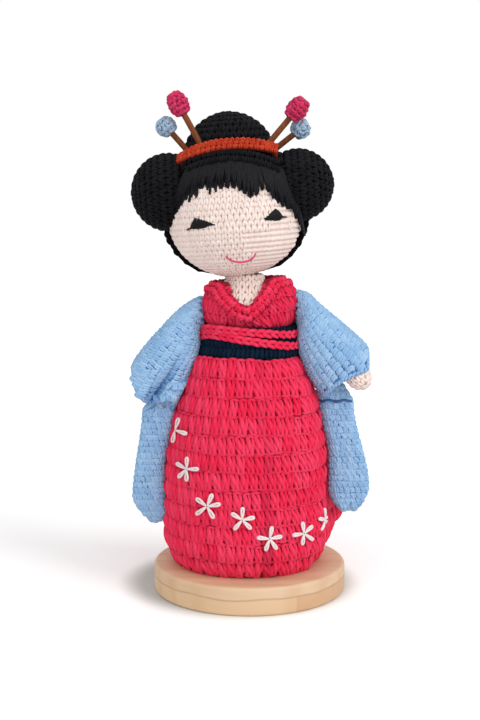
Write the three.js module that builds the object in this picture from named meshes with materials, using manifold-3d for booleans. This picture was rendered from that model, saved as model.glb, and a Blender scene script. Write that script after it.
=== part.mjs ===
// A crocheted, stuffed doll in a kimono, standing on a round wooden base.
// Millimetres, +Z up. The doll faces -Y, and the origin is the centre of the base's underside.
// Left and right are the doll's own, so its right side lies at -X.
import * as THREE from "three";
import { mergeVertices } from "three/addons/utils/BufferGeometryUtils.js";
import Module from "manifold-3d";

const wasm = await Module();
wasm.setup();

// Clearances
const SEAT = 0.3; // between two pieces that touch
const SLIP = 0.3; // round a stick or dowel that slides or turns in its hole
const FIT = 0.7; // between two curved fabrics that lie on each other
const TURN_GAP = 0.5; // between the head and what it turns over

// Wooden base and the post that carries the doll
const BASE_R = 50;
const BASE_H = 14.5;
const BASE_EDGE = 1.8;
const POST_R = 4;
const POST_SOCKET = 9;
const POST_LENGTH = 112;

// Crocheted fabric
const WALL_DRESS = 3;
const WALL_SASH = 2.2;
const WALL_HAIR = 2.8;
const WALL_SLEEVE = 2.6;
const CORD_R = 1.15;

// Skirt: a panel wrapped round the body, its outer edge at the doll's left front
const SKIRT_H = 108.6;
const SKIRT_X = -1.2;
const SKIRT_DEPTH = 0.92;
const SKIRT_R = 42.6;
const HEM_R = 36.5;
const HEM_CURL = 11;
const HIP_H = 62;
const HIP_R = 40.6;
const THIGH_H = 84;
const THIGH_R = 35.8;
const WAIST_R = 27;
const WRAP_EDGE_LOW = -30;
const WRAP_EDGE_HIGH = -8;
const WRAP_UNDER = 34;
const WRAP_TUCK = 34; // over which the under end sinks below the outer one
const FLARE_OUT = 13.5;
const FLARE_H = 24;
const FLARE_BELOW = 9;
const FLARE_ABOVE = 24;
const FLARE_AT = 26;
const FLARE_SPREAD = 19;

// Sash and cords round the waist
const SASH_H = 15.2;
const SASH_TOP_R = 23.8;
const CORD_HIGH = 12.1;
const CORD_LOW = 7.8;
const CORD_HIGH_SLOPE = 0.088;
const CORD_LOW_SLOPE = 0.165;
const KNOT_W = 27;
const KNOT_H = 17;
const KNOT_D = 6.5;

// Body, bodice and collar
const TORSO_DEPTH = 0.86;
const CHEST_R = 24.3;
const CHEST_H = 24.3;
const SHOULDER_H = 28.8;
const COLLAR_H = 38.4;
const COLLAR_R = 14.4;
const COLLAR_W = 8.5;
const NECK_R = 8.7;
const NECK_X = -2.5;
const NECK_H = 39.6;
const V_DEPTH = 13.4;
const V_SPREAD = 46;
const V_AZIMUTH = 267;
const SHOULDER_TILT = 4.6;

// Head, and the dowel that it turns on
const HEAD_RX = 34;
const HEAD_RY = 33;
const HEAD_UP = 37.2;
const HEAD_LOW = 30.2;
const HEAD_X = -7.3;
const HEAD_LEAN = 4;
const DOWEL_R = 2.5;
const DOWEL_BELOW = 28;
const DOWEL_ABOVE = 27;

// Hair
const HAIR_FRONT = 133;
const HAIR_SIDE = 97;
const HAIR_JAW = 80;
const HAIR_NAPE = 56;
const FRINGE_WALL = 2.2;
const FRINGE_TIP = 1.2;
const FRINGE_JAG = 2.4;
const PARTING = -8;
const TOP_BUN_R = 23.4;
const TOP_BUN_X = 0.2;
const TOP_BUN_H = 24.5;
const TOP_BUN_BACK = 9;
const TOP_BUN_UP = 28;
const SIDE_BUN_R = 18.6;
const SIDE_BUN_OUT = 34;
const SIDE_BUN_UP = 14.5;
const SIDE_BUN_BACK = 2;
const SIDE_BUN_FLAT = 0.9;
const BAND_W = 7.4;
const BAND_WALL = 2.2;
const BAND_UP = 26;
const BAND_RAKE = 25;

// Hair pins: a stick with a crocheted bobble on its end
const STICK_R = 1.5;
const STICK_IN = 20;
const PINK_R = 5.4;
const PINK_LONG = 1.28;
const BLUE_R = 5.1;
const BOBBLE_DEPTH = 4;

// Arms and sleeves
const ARM_OUT = CHEST_R + SEAT;
const ARM_R = 5.6;
const WRIST_R = 4.4;
const HAND_R = 5.9;
const DROP_WALL = 6;

// Finishes
const finish = (color, roughness) => new THREE.MeshStandardMaterial({ color, roughness, metalness: 0 });
const pine = finish("#dcb890", 0.6);
const dowelWood = finish("#d3b184", 0.7);
const stickWood = finish("#7a3d1c", 0.5);
const skinYarn = finish("#ecd2c4", 0.9);
const hairYarn = finish("#18181b", 0.8);
const dressYarn = finish("#e0325a", 0.9);
const sashYarn = finish("#0a1c2a", 0.85);
const sleeveYarn = finish("#92bce4", 0.9);
const bandYarn = finish("#cc3a1a", 0.85);
const pinkYarn = finish("#cf2f63", 0.9);
const blueYarn = finish("#9dbbdc", 0.9);

const rad = THREE.MathUtils.degToRad;
const vec = (x, y, z) => new THREE.Vector3(x, y, z);
const mix = THREE.MathUtils.lerp;
const ease = THREE.MathUtils.smoothstep;

// A smooth curve of one value over another, through a few named sizes.
function through(pairs) {
  const curve = new THREE.SplineCurve(pairs.map(([at, value]) => new THREE.Vector2(at, value)));
  const points = curve.getPoints(12 * (pairs.length - 1));
  return (at) => {
    const next = points.findIndex((p) => p.x >= at);
    if (next <= 0) return next < 0 ? points[points.length - 1].y : points[0].y;
    const a = points[next - 1];
    const b = points[next];
    return mix(a.y, b.y, (at - a.x) / (b.x - a.x || 1));
  };
}

// A closed geometry from points and triangles: doubled points are merged, and it faces outwards.
function closed(points, faces) {
  const flat = faces.flatMap((face) => face.flatMap((i) => points[i].toArray()));
  const loose = new THREE.BufferGeometry();
  loose.setAttribute("position", new THREE.Float32BufferAttribute(flat, 3));
  const merged = mergeVertices(loose, 1e-4);
  const all = Array.from(merged.index.array);
  const kept = [];
  let volume = 0;
  const p = merged.getAttribute("position");
  const at = (i) => vec(p.getX(i), p.getY(i), p.getZ(i));
  for (let i = 0; i < all.length; i += 3) {
    const [a, b, c] = all.slice(i, i + 3);
    if (a === b || b === c || a === c) continue;
    kept.push([a, b, c]);
    volume += at(a).dot(at(b).cross(at(c)));
  }
  merged.setIndex(kept.flatMap(([a, b, c]) => (volume < 0 ? [a, c, b] : [a, b, c])));
  return merged;
}

// A body through rings of points, each ring a closed loop, with its two ends capped.
function loft(rings) {
  const count = rings[0].length;
  const points = rings.flat();
  const faces = [];
  for (let r = 0; r + 1 < rings.length; r += 1) {
    for (let i = 0; i < count; i += 1) {
      const j = (i + 1) % count;
      const [a, b] = [r * count + i, r * count + j];
      faces.push([a, b, b + count], [a, b + count, a + count]);
    }
  }
  for (const [start, turn] of [[0, true], [(rings.length - 1) * count, false]]) {
    const middle = vec(0, 0, 0);
    for (let i = 0; i < count; i += 1) middle.addScaledVector(points[start + i], 1 / count);
    const hub = points.push(middle) - 1;
    for (let i = 0; i < count; i += 1) {
      const [a, b] = [start + i, start + ((i + 1) % count)];
      faces.push(turn ? [hub, b, a] : [hub, a, b]);
    }
  }
  return closed(points, faces);
}

// A fabric panel between two surfaces. across and along run from 0 to 1; round joins its two sides.
function panel(surface, across, along, round) {
  const columns = round ? across : across + 1;
  const points = [];
  for (const side of [1, 0]) {
    for (let i = 0; i < columns; i += 1) {
      for (let j = 0; j <= along; j += 1) points.push(surface(i / across, j / along, side));
    }
  }
  const index = (i, j, side) => (1 - side) * columns * (along + 1) + (i % columns) * (along + 1) + j;
  const faces = [];
  const quad = (a, b, c, d) => faces.push([a, b, c], [a, c, d]);
  for (let i = 0; i < across; i += 1) {
    for (let j = 0; j < along; j += 1) {
      quad(index(i, j, 1), index(i + 1, j, 1), index(i + 1, j + 1, 1), index(i, j + 1, 1));
      quad(index(i, j, 0), index(i, j + 1, 0), index(i + 1, j + 1, 0), index(i + 1, j, 0));
    }
    quad(index(i, 0, 0), index(i + 1, 0, 0), index(i + 1, 0, 1), index(i, 0, 1));
    quad(index(i, along, 1), index(i + 1, along, 1), index(i + 1, along, 0), index(i, along, 0));
  }
  for (let j = 0; j < along && !round; j += 1) {
    quad(index(0, j, 0), index(0, j, 1), index(0, j + 1, 1), index(0, j + 1, 0));
    quad(index(across, j, 1), index(across, j, 0), index(across, j + 1, 0), index(across, j + 1, 1));
  }
  return closed(points, faces);
}

// A ring of points round an ellipse in the plane of two directions.
function ellipse(centre, a, b, count) {
  return Array.from({ length: count }, (_, i) => {
    const turn = (2 * Math.PI * i) / count;
    return centre.clone().addScaledVector(a, Math.cos(turn)).addScaledVector(b, Math.sin(turn));
  });
}

// Solids for cutting and joining
function solid(geometry) {
  const bare = geometry.index ? geometry.toNonIndexed() : geometry.clone();
  const plain = new THREE.BufferGeometry();
  plain.setAttribute("position", bare.getAttribute("position"));
  const merged = mergeVertices(plain, 1e-4);
  return new wasm.Manifold(
    new wasm.Mesh({
      numProp: 3,
      vertProperties: merged.getAttribute("position").array,
      triVerts: new Uint32Array(merged.index.array),
    }),
  );
}

function geometryOf(made) {
  const mesh = made.getMesh();
  const geometry = new THREE.BufferGeometry();
  geometry.setAttribute("position", new THREE.BufferAttribute(mesh.vertProperties, 3));
  geometry.setIndex(new THREE.BufferAttribute(mesh.triVerts, 1));
  return geometry;
}

function cut(geometry, ...tools) {
  return geometryOf(tools.reduce((left, tool) => left.subtract(solid(tool)), solid(geometry)));
}

function join(geometry, ...more) {
  return geometryOf(more.reduce((whole, piece) => whole.add(solid(piece)), solid(geometry)));
}

// A round bar from one point to another.
function bar(from, to, radius, sides) {
  const along = to.clone().sub(from);
  const geometry = new THREE.CylinderGeometry(radius, radius, along.length(), sides);
  const turn = new THREE.Quaternion().setFromUnitVectors(vec(0, 1, 0), along.clone().normalize());
  geometry.applyQuaternion(turn);
  geometry.translate(...from.clone().add(to).multiplyScalar(0.5).toArray());
  return geometry;
}

// A ball scaled to three radii.
function ball(rx, ry, rz, sides, rows) {
  const geometry = new THREE.SphereGeometry(1, sides, rows);
  geometry.rotateX(Math.PI / 2);
  geometry.scale(rx, ry, rz);
  return geometry;
}

function piece(group, name, geometry, material) {
  const mesh = new THREE.Mesh(geometry, material);
  mesh.name = name;
  group.add(mesh);
  return mesh;
}

const root = new THREE.Group();

// Wooden base: a turned disc with rounded edges and a blind socket for the post.
const baseProfile = [new THREE.Vector2(0, 0)];
for (let i = 0; i <= 3; i += 1) {
  const turn = (i / 3) * (Math.PI / 2);
  baseProfile.push(
    new THREE.Vector2(BASE_R - BASE_EDGE + BASE_EDGE * Math.sin(turn), BASE_EDGE - BASE_EDGE * Math.cos(turn)),
  );
}
for (let i = 0; i <= 3; i += 1) {
  const turn = (i / 3) * (Math.PI / 2);
  baseProfile.push(
    new THREE.Vector2(
      BASE_R - BASE_EDGE + BASE_EDGE * Math.cos(turn),
      BASE_H - BASE_EDGE + BASE_EDGE * Math.sin(turn),
    ),
  );
}
const socketR = POST_R + SLIP;
const socketFloor = BASE_H - POST_SOCKET;
baseProfile.push(
  new THREE.Vector2(socketR, BASE_H),
  new THREE.Vector2(socketR, socketFloor),
  new THREE.Vector2(0, socketFloor),
);
const base = new THREE.LatheGeometry(baseProfile, 40);
base.rotateX(Math.PI / 2);
piece(root, "base_disc", base, pine);

// Post: a dowel with a domed top, glued in the base.
const postProfile = [
  new THREE.Vector2(0, 0),
  new THREE.Vector2(POST_R, 0),
  new THREE.Vector2(POST_R, POST_LENGTH - POST_R / 2),
  new THREE.Vector2(POST_R * 0.7, POST_LENGTH - POST_R / 8),
  new THREE.Vector2(0, POST_LENGTH),
];
const post = new THREE.LatheGeometry(postProfile, 20);
post.rotateX(Math.PI / 2);
const postBottom = socketFloor + SLIP;
const postMesh = piece(root, "post", post, dowelWood);
postMesh.position.z = postBottom;

// The doll stands on the base. Its own heights start at the hem.
const doll = new THREE.Group();
doll.position.z = BASE_H + SEAT;
root.add(doll);
const postTop = postBottom + POST_LENGTH - doll.position.z;

// Skirt: half width over height, and the flared corner of the lower end of the wrap.
const skirtR = through([
  [0, HEM_R],
  [HEM_CURL, SKIRT_R - 0.8],
  [2.2 * HEM_CURL, SKIRT_R],
  [(HEM_CURL + HIP_H) * 0.54, SKIRT_R - 0.2],
  [HIP_H, HIP_R],
  [THIGH_H, THIGH_R],
  [SKIRT_H, WAIST_R],
]);
const bell = (value, low, high) => Math.exp(-((value / (value < 0 ? low : high)) ** 2));
const skirtWall = WALL_DRESS;
const wrapEdge = (height) => mix(WRAP_EDGE_LOW, WRAP_EDGE_HIGH, height / SKIRT_H);

function skirtPoint(across, up, side) {
  const height = up * SKIRT_H;
  const start = wrapEdge(height);
  const turned = across * (360 + WRAP_UNDER);
  const azimuth = start - turned;
  const tucked = ease(turned, 358 - WRAP_TUCK, 358);
  const flare =
    FLARE_OUT *
    bell(height - FLARE_H, FLARE_BELOW, FLARE_ABOVE) *
    bell(azimuth + 360 - FLARE_AT, FLARE_SPREAD, FLARE_SPREAD) *
    (1 - ease(turned, 348, 362));
  const r = skirtR(height) + flare - tucked * (skirtWall + 2 * SEAT) - (1 - side) * skirtWall;
  const a = rad(azimuth);
  return vec(SKIRT_X + r * Math.cos(a), r * SKIRT_DEPTH * Math.sin(a), height);
}
piece(doll, "skirt", panel(skirtPoint, 48, 9, false), dressYarn);

// Body: stuffed, a bell under the skirt, then chest, shoulders and neck in one piece. The doll's left
// shoulder is raised a little, on the body and on the bodice over it.
const waist = SKIRT_H + SEAT;
const innerR = (height) => skirtR(height) - 2 * skirtWall - 3 * SEAT;
const bodiceWaistR = SASH_TOP_R - WALL_SASH - SEAT;
const bodyWaistR = bodiceWaistR - WALL_DRESS - SEAT;
const bodyR = through([
  [waist, bodyWaistR],
  [waist + SASH_H + 1, bodyWaistR - 0.3],
  [waist + CHEST_H + 1, CHEST_R - WALL_DRESS - 4 * SEAT],
  [waist + SHOULDER_H, CHEST_R - WALL_DRESS - 6 * SEAT],
  [waist + mix(SHOULDER_H, COLLAR_H, 0.45), mix(CHEST_R, NECK_R, 0.72)],
  [waist + mix(SHOULDER_H, COLLAR_H, 0.8), NECK_R + 0.6],
  [waist + COLLAR_H, NECK_R],
]);
const lean = (x, height) => x * Math.tan(rad(SHOULDER_TILT)) * ease(height, SASH_H, SHOULDER_H);
const bodyRings = [];
function bodyRing(height, r, x, depth) {
  const ring = ellipse(vec(x, 0, height), vec(r, 0, 0), vec(0, r * depth, 0), 24);
  const level = ease(height, waist + SHOULDER_H, waist + COLLAR_H);
  for (const p of ring) p.z += lean(p.x, height - waist) * (1 - level);
  bodyRings.push(ring);
}
for (let i = 0; i <= 7; i += 1) {
  const height = mix(0, SKIRT_H - 3 * SEAT, i / 7);
  bodyRing(height, Math.min(innerR(height), mix(SKIRT_R, bodyWaistR, (height / SKIRT_H) ** 6)), SKIRT_X, SKIRT_DEPTH);
}
for (let i = 0; i <= 10; i += 1) {
  const height = mix(waist - SEAT, waist + NECK_H, i / 10);
  const raised = ease(height, waist + CHEST_H, waist + COLLAR_H);
  bodyRing(height, bodyR(height), NECK_X * raised, mix(TORSO_DEPTH, 1, raised));
}
const postHole = bar(vec(0, 0, -1), vec(0, 0, postTop + SLIP), POST_R + SLIP, 20);
const neckTop = waist + NECK_H;
const dowelFoot = vec(NECK_X, 0, neckTop - DOWEL_BELOW);
const dowelHead = vec(NECK_X, 0, neckTop + DOWEL_ABOVE);
const neckHole = bar(vec(NECK_X, 0, dowelFoot.z - SLIP), vec(NECK_X, 0, neckTop + 1), DOWEL_R + SLIP, 16);
piece(doll, "body", cut(loft(bodyRings), postHole, neckHole), skinYarn);
piece(doll, "neck_dowel", bar(dowelFoot, dowelHead, DOWEL_R, 16), dowelWood);

// Bodice: a shell over chest and shoulders, cut to a V in front.
const bodiceR = through([
  [0, bodiceWaistR],
  [SASH_H + 1, bodiceWaistR - 0.1],
  [SASH_H + 3.6, CHEST_R - 0.6],
  [CHEST_H, CHEST_R],
  [SHOULDER_H, CHEST_R - 0.4],
  [mix(SHOULDER_H, COLLAR_H, 0.4), mix(CHEST_R, COLLAR_R, 0.3)],
  [COLLAR_H, COLLAR_R],
]);
const frontAt = (azimuth) => Math.abs(((azimuth - V_AZIMUTH + 540) % 360) - 180);
const neckline = (azimuth) => COLLAR_H - V_DEPTH * Math.max(0, 1 - frontAt(azimuth) / V_SPREAD) ** 1.3;

function bodicePoint(azimuth, height, r) {
  const a = rad(azimuth);
  const x = r * Math.cos(a);
  const shift = 0.5 * NECK_X * ease(height, CHEST_H, COLLAR_H);
  return vec(x + shift, r * TORSO_DEPTH * Math.sin(a), waist + height + lean(x, height));
}
const bodice = panel(
  (across, up, side) => {
    const azimuth = 360 * across;
    const height = up * neckline(azimuth);
    return bodicePoint(azimuth, height, bodiceR(height) - (1 - side) * WALL_DRESS);
  },
  32,
  9,
  true,
);
piece(doll, "bodice", bodice, dressYarn);

// Collar: a thick band on the bodice's neckline, which makes the lapels in front.
const collar = panel(
  (across, up, side) => {
    const azimuth = 360 * across;
    const top = neckline(azimuth);
    const width = mix(COLLAR_W, COLLAR_W / 2, ease(frontAt(azimuth), 0, 60));
    const height = top + mix(-width, FIT, up);
    const rise = Math.min(height, COLLAR_H);
    return bodicePoint(azimuth, height, bodiceR(rise) + FIT + SEAT / 3 + side * WALL_DRESS);
  },
  32,
  4,
  true,
);
piece(doll, "collar", collar, dressYarn);

// Sash round the waist, lying on the bodice. Its lower edge meets the skirt.
const sashR = (height) => mix(WAIST_R - SEAT, SASH_TOP_R, ease(height, 0, 0.75 * SASH_H));
const sashDepth = TORSO_DEPTH + 0.02;
const sash = panel(
  (across, up, side) => {
    const a = rad(360 * across);
    const height = up * SASH_H;
    const r = side ? sashR(height) : SASH_TOP_R - WALL_SASH;
    return vec(r * Math.cos(a), r * sashDepth * Math.sin(a), waist + SEAT + height);
  },
  32,
  3,
  true,
);
piece(doll, "obi", sash, sashYarn);

// Knot of the sash: a soft pad at the back.
const backY = (r) => r * sashDepth;
const knotMiddle = waist + SEAT + SASH_H / 2;
const knotY = backY(WAIST_R) + SEAT + KNOT_D / 2;
const knotRings = [-1, -0.92, -0.6, -0.18, 0, 0.18, 0.6, 0.92, 1].map((x) => {
  const full = Math.sqrt(Math.max(0.16, 1 - x ** 6)) * (Math.abs(x) < 0.1 ? 0.86 : 1);
  const centre = vec((x * KNOT_W) / 2, knotY - 2.2 * x * x, knotMiddle);
  return ellipse(centre, vec(0, (KNOT_D / 2) * full, 0), vec(0, 0, (KNOT_H / 2) * full), 14);
});
const sashCore = panel(
  (across, up, side) => {
    const a = rad(360 * across);
    const r = side ? WAIST_R + SEAT : SASH_TOP_R - 3 * WALL_SASH;
    return vec(r * Math.cos(a), r * sashDepth * Math.sin(a), waist - 2 + up * (SASH_H + 6));
  },
  40,
  1,
  true,
);

// Two chain cords, each a loop round the sash that slopes in front and lies level at the back.
function cordPath(height, slope) {
  const points = [];
  for (let i = 0; i < 36; i += 1) {
    const a = (2 * Math.PI * i) / 36;
    const front = ease(-Math.sin(a), -0.2, 0.8);
    const drop = (slope * SASH_TOP_R * Math.cos(a) + 1.1 * Math.sin(a)) * front;
    const z = height - drop;
    const r = sashR(z) + SEAT + CORD_R;
    points.push(vec(r * Math.cos(a), r * sashDepth * Math.sin(a) - SEAT * Math.sign(-Math.sin(a)), waist + SEAT + z));
  }
  return points;
}

function hoop(path, radius, sides) {
  const rings = path.map((p, i) => {
    const next = path[(i + 1) % path.length];
    const last = path[(i + path.length - 1) % path.length];
    const along = next.clone().sub(last).normalize();
    const out = vec(p.x, p.y, 0).normalize();
    const up = along.clone().cross(out).normalize();
    return ellipse(p, out.clone().multiplyScalar(radius), up.multiplyScalar(radius), sides);
  });
  const points = rings.flat();
  const faces = [];
  rings.forEach((_, r) => {
    for (let i = 0; i < sides; i += 1) {
      const a = r * sides + i;
      const b = r * sides + ((i + 1) % sides);
      const c = ((r + 1) % rings.length) * sides + i;
      const d = ((r + 1) % rings.length) * sides + ((i + 1) % sides);
      faces.push([a, b, d], [a, d, c]);
    }
  });
  return closed(points, faces);
}
const cordPaths = [cordPath(CORD_HIGH, CORD_HIGH_SLOPE), cordPath(CORD_LOW, CORD_LOW_SLOPE)];
piece(doll, "cord_upper", hoop(cordPaths[0], CORD_R, 6), dressYarn);
piece(doll, "cord_lower", hoop(cordPaths[1], CORD_R, 6), dressYarn);
const cordSpaces = cordPaths.map((path) => hoop(path, CORD_R + SEAT, 6));
const knot = cut(loft(knotRings), sashCore, ...cordSpaces);
piece(doll, "obi_knot", knot, sashYarn);

// Head: everything on it is placed from its centre and leans with it.
const head = new THREE.Group();
head.position.set(HEAD_X, 0, neckTop + TURN_GAP + HEAD_LOW);
head.rotation.y = -rad(HEAD_LEAN);
doll.add(head);
head.updateMatrix();
const intoHead = head.matrix.clone().invert();

// A point of the head's surface in a unit direction, grown by the thickness of what lies on it.
function onHead(direction, more) {
  const up = direction.z > 0 ? HEAD_UP : HEAD_LOW;
  return vec(
    direction.x * (HEAD_RX + more),
    direction.y * (HEAD_RY + more),
    direction.z * (up + more),
  );
}

function headBall(more, sides, rows) {
  const geometry = new THREE.SphereGeometry(1, sides, rows);
  geometry.rotateX(Math.PI / 2);
  const p = geometry.getAttribute("position");
  for (let i = 0; i < p.count; i += 1) {
    const at = onHead(vec(p.getX(i), p.getY(i), p.getZ(i)), more);
    p.setXYZ(i, at.x, at.y, at.z);
  }
  return geometry;
}

// Pins: where each enters the hair and which way it points, from the head's centre.
const pins = [
  { name: "pin_pink_right", enters: vec(-15.3, -7.4, 38), along: vec(-0.421, 0, 0.907), out: 18.7, pink: true },
  { name: "pin_blue_right", enters: vec(-22.1, -2.4, 35), along: vec(-0.614, 0, 0.79), out: 14.2, pink: false },
  { name: "pin_pink_left", enters: vec(19.4, -8.1, 35.5), along: vec(0.696, 0, 0.72), out: 18.5, pink: true },
  { name: "pin_blue_left", enters: vec(23.2, -1.8, 32.9), along: vec(0.827, 0, 0.562), out: 14, pink: false },
];
const channels = pins.map(({ enters, along, out }) =>
  bar(
    enters.clone().addScaledVector(along, -STICK_IN - SLIP),
    enters.clone().addScaledVector(along, out),
    STICK_R + SLIP,
    12,
  ),
);

const dowelTopInHead = dowelHead.clone().applyMatrix4(intoHead);
const dowelLowInHead = vec(NECK_X, 0, neckTop - 2).applyMatrix4(intoHead);
const dowelUp = dowelTopInHead.clone().sub(dowelLowInHead).normalize();
const dowelHole = bar(
  dowelLowInHead,
  dowelTopInHead.clone().addScaledVector(dowelUp, SLIP),
  DOWEL_R + SLIP,
  16,
);
piece(head, "head", cut(headBall(0, 26, 16), dowelHole, ...channels), skinYarn);

// Hair cap: measured from the back of the head, it ends at an edge round the face and over the nape.
const capEdge = through([
  [0, HAIR_FRONT],
  [45, mix(HAIR_FRONT, HAIR_SIDE, 0.36)],
  [90, HAIR_SIDE],
  [130, mix(HAIR_SIDE, HAIR_JAW, 0.6)],
  [148, HAIR_JAW],
  [166, mix(HAIR_JAW, HAIR_NAPE, 0.7)],
  [180, HAIR_NAPE],
]);
function fromBack(turn, tilt) {
  const t = rad(turn);
  const f = rad(tilt);
  return vec(Math.sin(f) * Math.sin(t), Math.cos(f), Math.sin(f) * Math.cos(t));
}
const cap = panel(
  (across, up, side) => {
    const turn = 360 * across;
    const edge = capEdge(turn > 180 ? 360 - turn : turn);
    return onHead(fromBack(turn, up * edge), FIT + side * WALL_HAIR);
  },
  30,
  9,
  true,
);
piece(head, "hair_cap", cut(cap, ...channels), hairYarn);
const capOuter = headBall(FIT + SEAT + WALL_HAIR, 32, 20);

// Fringe: strands from the cap's edge down the forehead, parted over the doll's right eye.
const fringeLine = through([
  [-80, -10],
  [-66, 9],
  [-38, 27],
  [-14, 31],
  [4, 26],
  [16, 19],
  [28, 21],
  [44, 12],
  [58, 1],
  [72, -9],
  [84, -24],
]);
function fromFront(azimuth, tilt) {
  const a = rad(azimuth);
  const t = rad(tilt);
  return vec(Math.cos(t) * Math.sin(a), -Math.cos(t) * Math.cos(a), Math.sin(t));
}
function capLimit(azimuth) {
  let tilt = 88;
  for (; tilt > -60; tilt -= 0.5) {
    const d = fromFront(azimuth, tilt);
    const turn = THREE.MathUtils.radToDeg(Math.atan2(Math.abs(d.x), d.z));
    const angle = THREE.MathUtils.radToDeg(Math.acos(d.y));
    if (angle > capEdge(turn) + 0.9) break;
  }
  return tilt;
}
function fringe(from, to, teeth) {
  return panel(
    (across, up, side) => {
      const azimuth = mix(from, to, across);
      const top = capLimit(azimuth);
      const tooth = Math.round(across * teeth * 2) % 2;
      const low = Math.min(fringeLine(azimuth) + (tooth ? -FRINGE_JAG : FRINGE_JAG), top - 3);
      const thick = mix(FRINGE_TIP, FRINGE_WALL, up);
      return onHead(fromFront(azimuth, mix(low, top, up)), FIT + side * thick);
    },
    teeth * 2,
    4,
    false,
  );
}
const halfParting = THREE.MathUtils.radToDeg(SEAT / HEAD_RY);
piece(head, "fringe_right", fringe(-80, PARTING - halfParting, 9), hairYarn);
piece(head, "fringe_left", fringe(PARTING + halfParting, 84, 12), hairYarn);

// Hair band: a ring on the cap round the foot of the top bun, raked backwards. It is grown by more
// on each side where something else makes room for it.
const bandSlope = Math.tan(rad(BAND_RAKE));
function bandShell(grown) {
  return (across, up, side) => {
    const a = 2 * Math.PI * across;
    const shift = mix(-BAND_W / 2 - grown, BAND_W / 2 + grown, up);
    const height = BAND_UP + shift / Math.cos(rad(BAND_RAKE));
    const more = FIT + WALL_HAIR + (side ? SEAT + BAND_WALL + grown : SEAT - grown);
    const rx = HEAD_RX + more;
    const ry = HEAD_RY + more;
    let share = 0;
    let rz = HEAD_UP + more;
    for (let step = 0; step < 40; step += 1) {
      const y = ry * Math.sqrt(1 - share * share) * Math.sin(a);
      const z = height - bandSlope * y;
      rz = (z > 0 ? HEAD_UP : HEAD_LOW) + more;
      share = mix(share, THREE.MathUtils.clamp(z / rz, -1, 1), 0.6);
    }
    const spread = Math.sqrt(1 - share * share);
    return vec(rx * spread * Math.cos(a), ry * spread * Math.sin(a), share * rz);
  };
}
piece(head, "hair_band", cut(panel(bandShell(0), 36, 2, true), ...channels), bandYarn);

// Buns: stuffed balls sewn on the cap, so their inner sides follow it.
const topBun = ball(TOP_BUN_R, TOP_BUN_R, TOP_BUN_H, 22, 14);
topBun.translate(TOP_BUN_X, TOP_BUN_BACK, TOP_BUN_UP);
piece(head, "top_bun", cut(topBun, capOuter, ...channels), hairYarn);
for (const [name, side, size] of [["side_bun_right", -1, 1.03], ["side_bun_left", 1, 0.96]]) {
  const r = SIDE_BUN_R * size;
  const bun = ball(r * SIDE_BUN_FLAT, r * 0.94, r, 20, 12);
  bun.translate(side * SIDE_BUN_OUT, SIDE_BUN_BACK, SIDE_BUN_UP);
  piece(head, name, cut(bun, capOuter, topBun, panel(bandShell(FIT), 36, 2, true)), hairYarn);
}

// Pins in their channels: the stick reaches into the head, and the bobble is crocheted on its end.
for (const { name, enters, along, out, pink } of pins) {
  const group = new THREE.Group();
  group.position.copy(enters);
  group.quaternion.setFromUnitVectors(vec(0, 0, 1), along.clone().normalize());
  head.add(group);
  const stick = new THREE.CylinderGeometry(STICK_R, STICK_R, STICK_IN + out, 12);
  stick.rotateX(Math.PI / 2);
  stick.translate(0, 0, (out - STICK_IN) / 2);
  piece(group, `${name}_stick`, stick, stickWood);
  const r = pink ? PINK_R : BLUE_R;
  const long = pink ? PINK_LONG : 1;
  const bobble = ball(r, r, r * long, 16, 10);
  bobble.translate(0, 0, out + r * long - BOBBLE_DEPTH);
  const hole = bar(vec(0, 0, -STICK_IN), vec(0, 0, out + SEAT), STICK_R + SEAT, 12);
  piece(group, `${name}_bobble`, cut(bobble, hole), pink ? pinkYarn : blueYarn);
}

// Arms and sleeves. Each station gives the sleeve's upper and lower edge beside the body, seen from
// the front, its half depth and how far forward it lies. Heights are from the waist. The mouth says
// how far the cuff bulges out between its upper and its lower edge.
const arms = [
  {
    side: -1,
    name: "right",
    shoulder: 24,
    hand: vec(46.5, -9, -7.5),
    stations: [
      [ARM_OUT, 29.6, ARM_OUT, 15, 8, 0],
      [29.8, 27.2, 27.6, 13, 8.8, -1],
      [37.2, 21.8, 28.4, 3.4, 9.2, -2.5],
      [47.3, 11.4, 32, -6.4, 9.4, -5],
      [55.6, 1.6, 35.6, -15, 9.4, -7],
      [60, -5, 38.4, -22.2, 8.8, -8],
    ],
    mouth: [[0, 0], [0.12, 3.6], [0.3, 7.6], [0.5, 8.6], [0.7, 5.6], [0.87, 2], [1, 0]],
    drop: { y: -6, z: -25.4, long: 61.6, top: [39, 54.6], low: [44.4, 60.2], tip: 48.4 },
    gusset: [[38.6, -20], [44, -14.5], [54, -14.5], [56, -22.4]],
  },
  {
    side: 1,
    name: "left",
    shoulder: 25.6,
    hand: vec(55, -13.4, -9.8),
    stations: [
      [ARM_OUT, 32.8, ARM_OUT, 16.6, 8, 0],
      [30, 31, 27.4, 14.6, 8.8, -1.5],
      [35, 26.3, 28, 5.6, 9.2, -4],
      [45.5, 17.6, 30.2, -4.4, 9.6, -7],
      [55.6, 8.8, 33.8, -13.2, 9.6, -9.5],
      [59.8, 4.4, 38.4, -20.2, 9.2, -11],
    ],
    mouth: [[0, 0], [0.12, 2.8], [0.3, 6.8], [0.5, 5.4], [0.75, 2.2], [1, 0]],
    drop: { y: -7.2, z: -23.2, long: 57, top: [38.8, 54.2], low: [42.4, 61.2], tip: 51.2 },
    gusset: [[38.8, -17.6], [44, -12], [53, -12], [54.2, -19.6]],
  },
];

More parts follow.
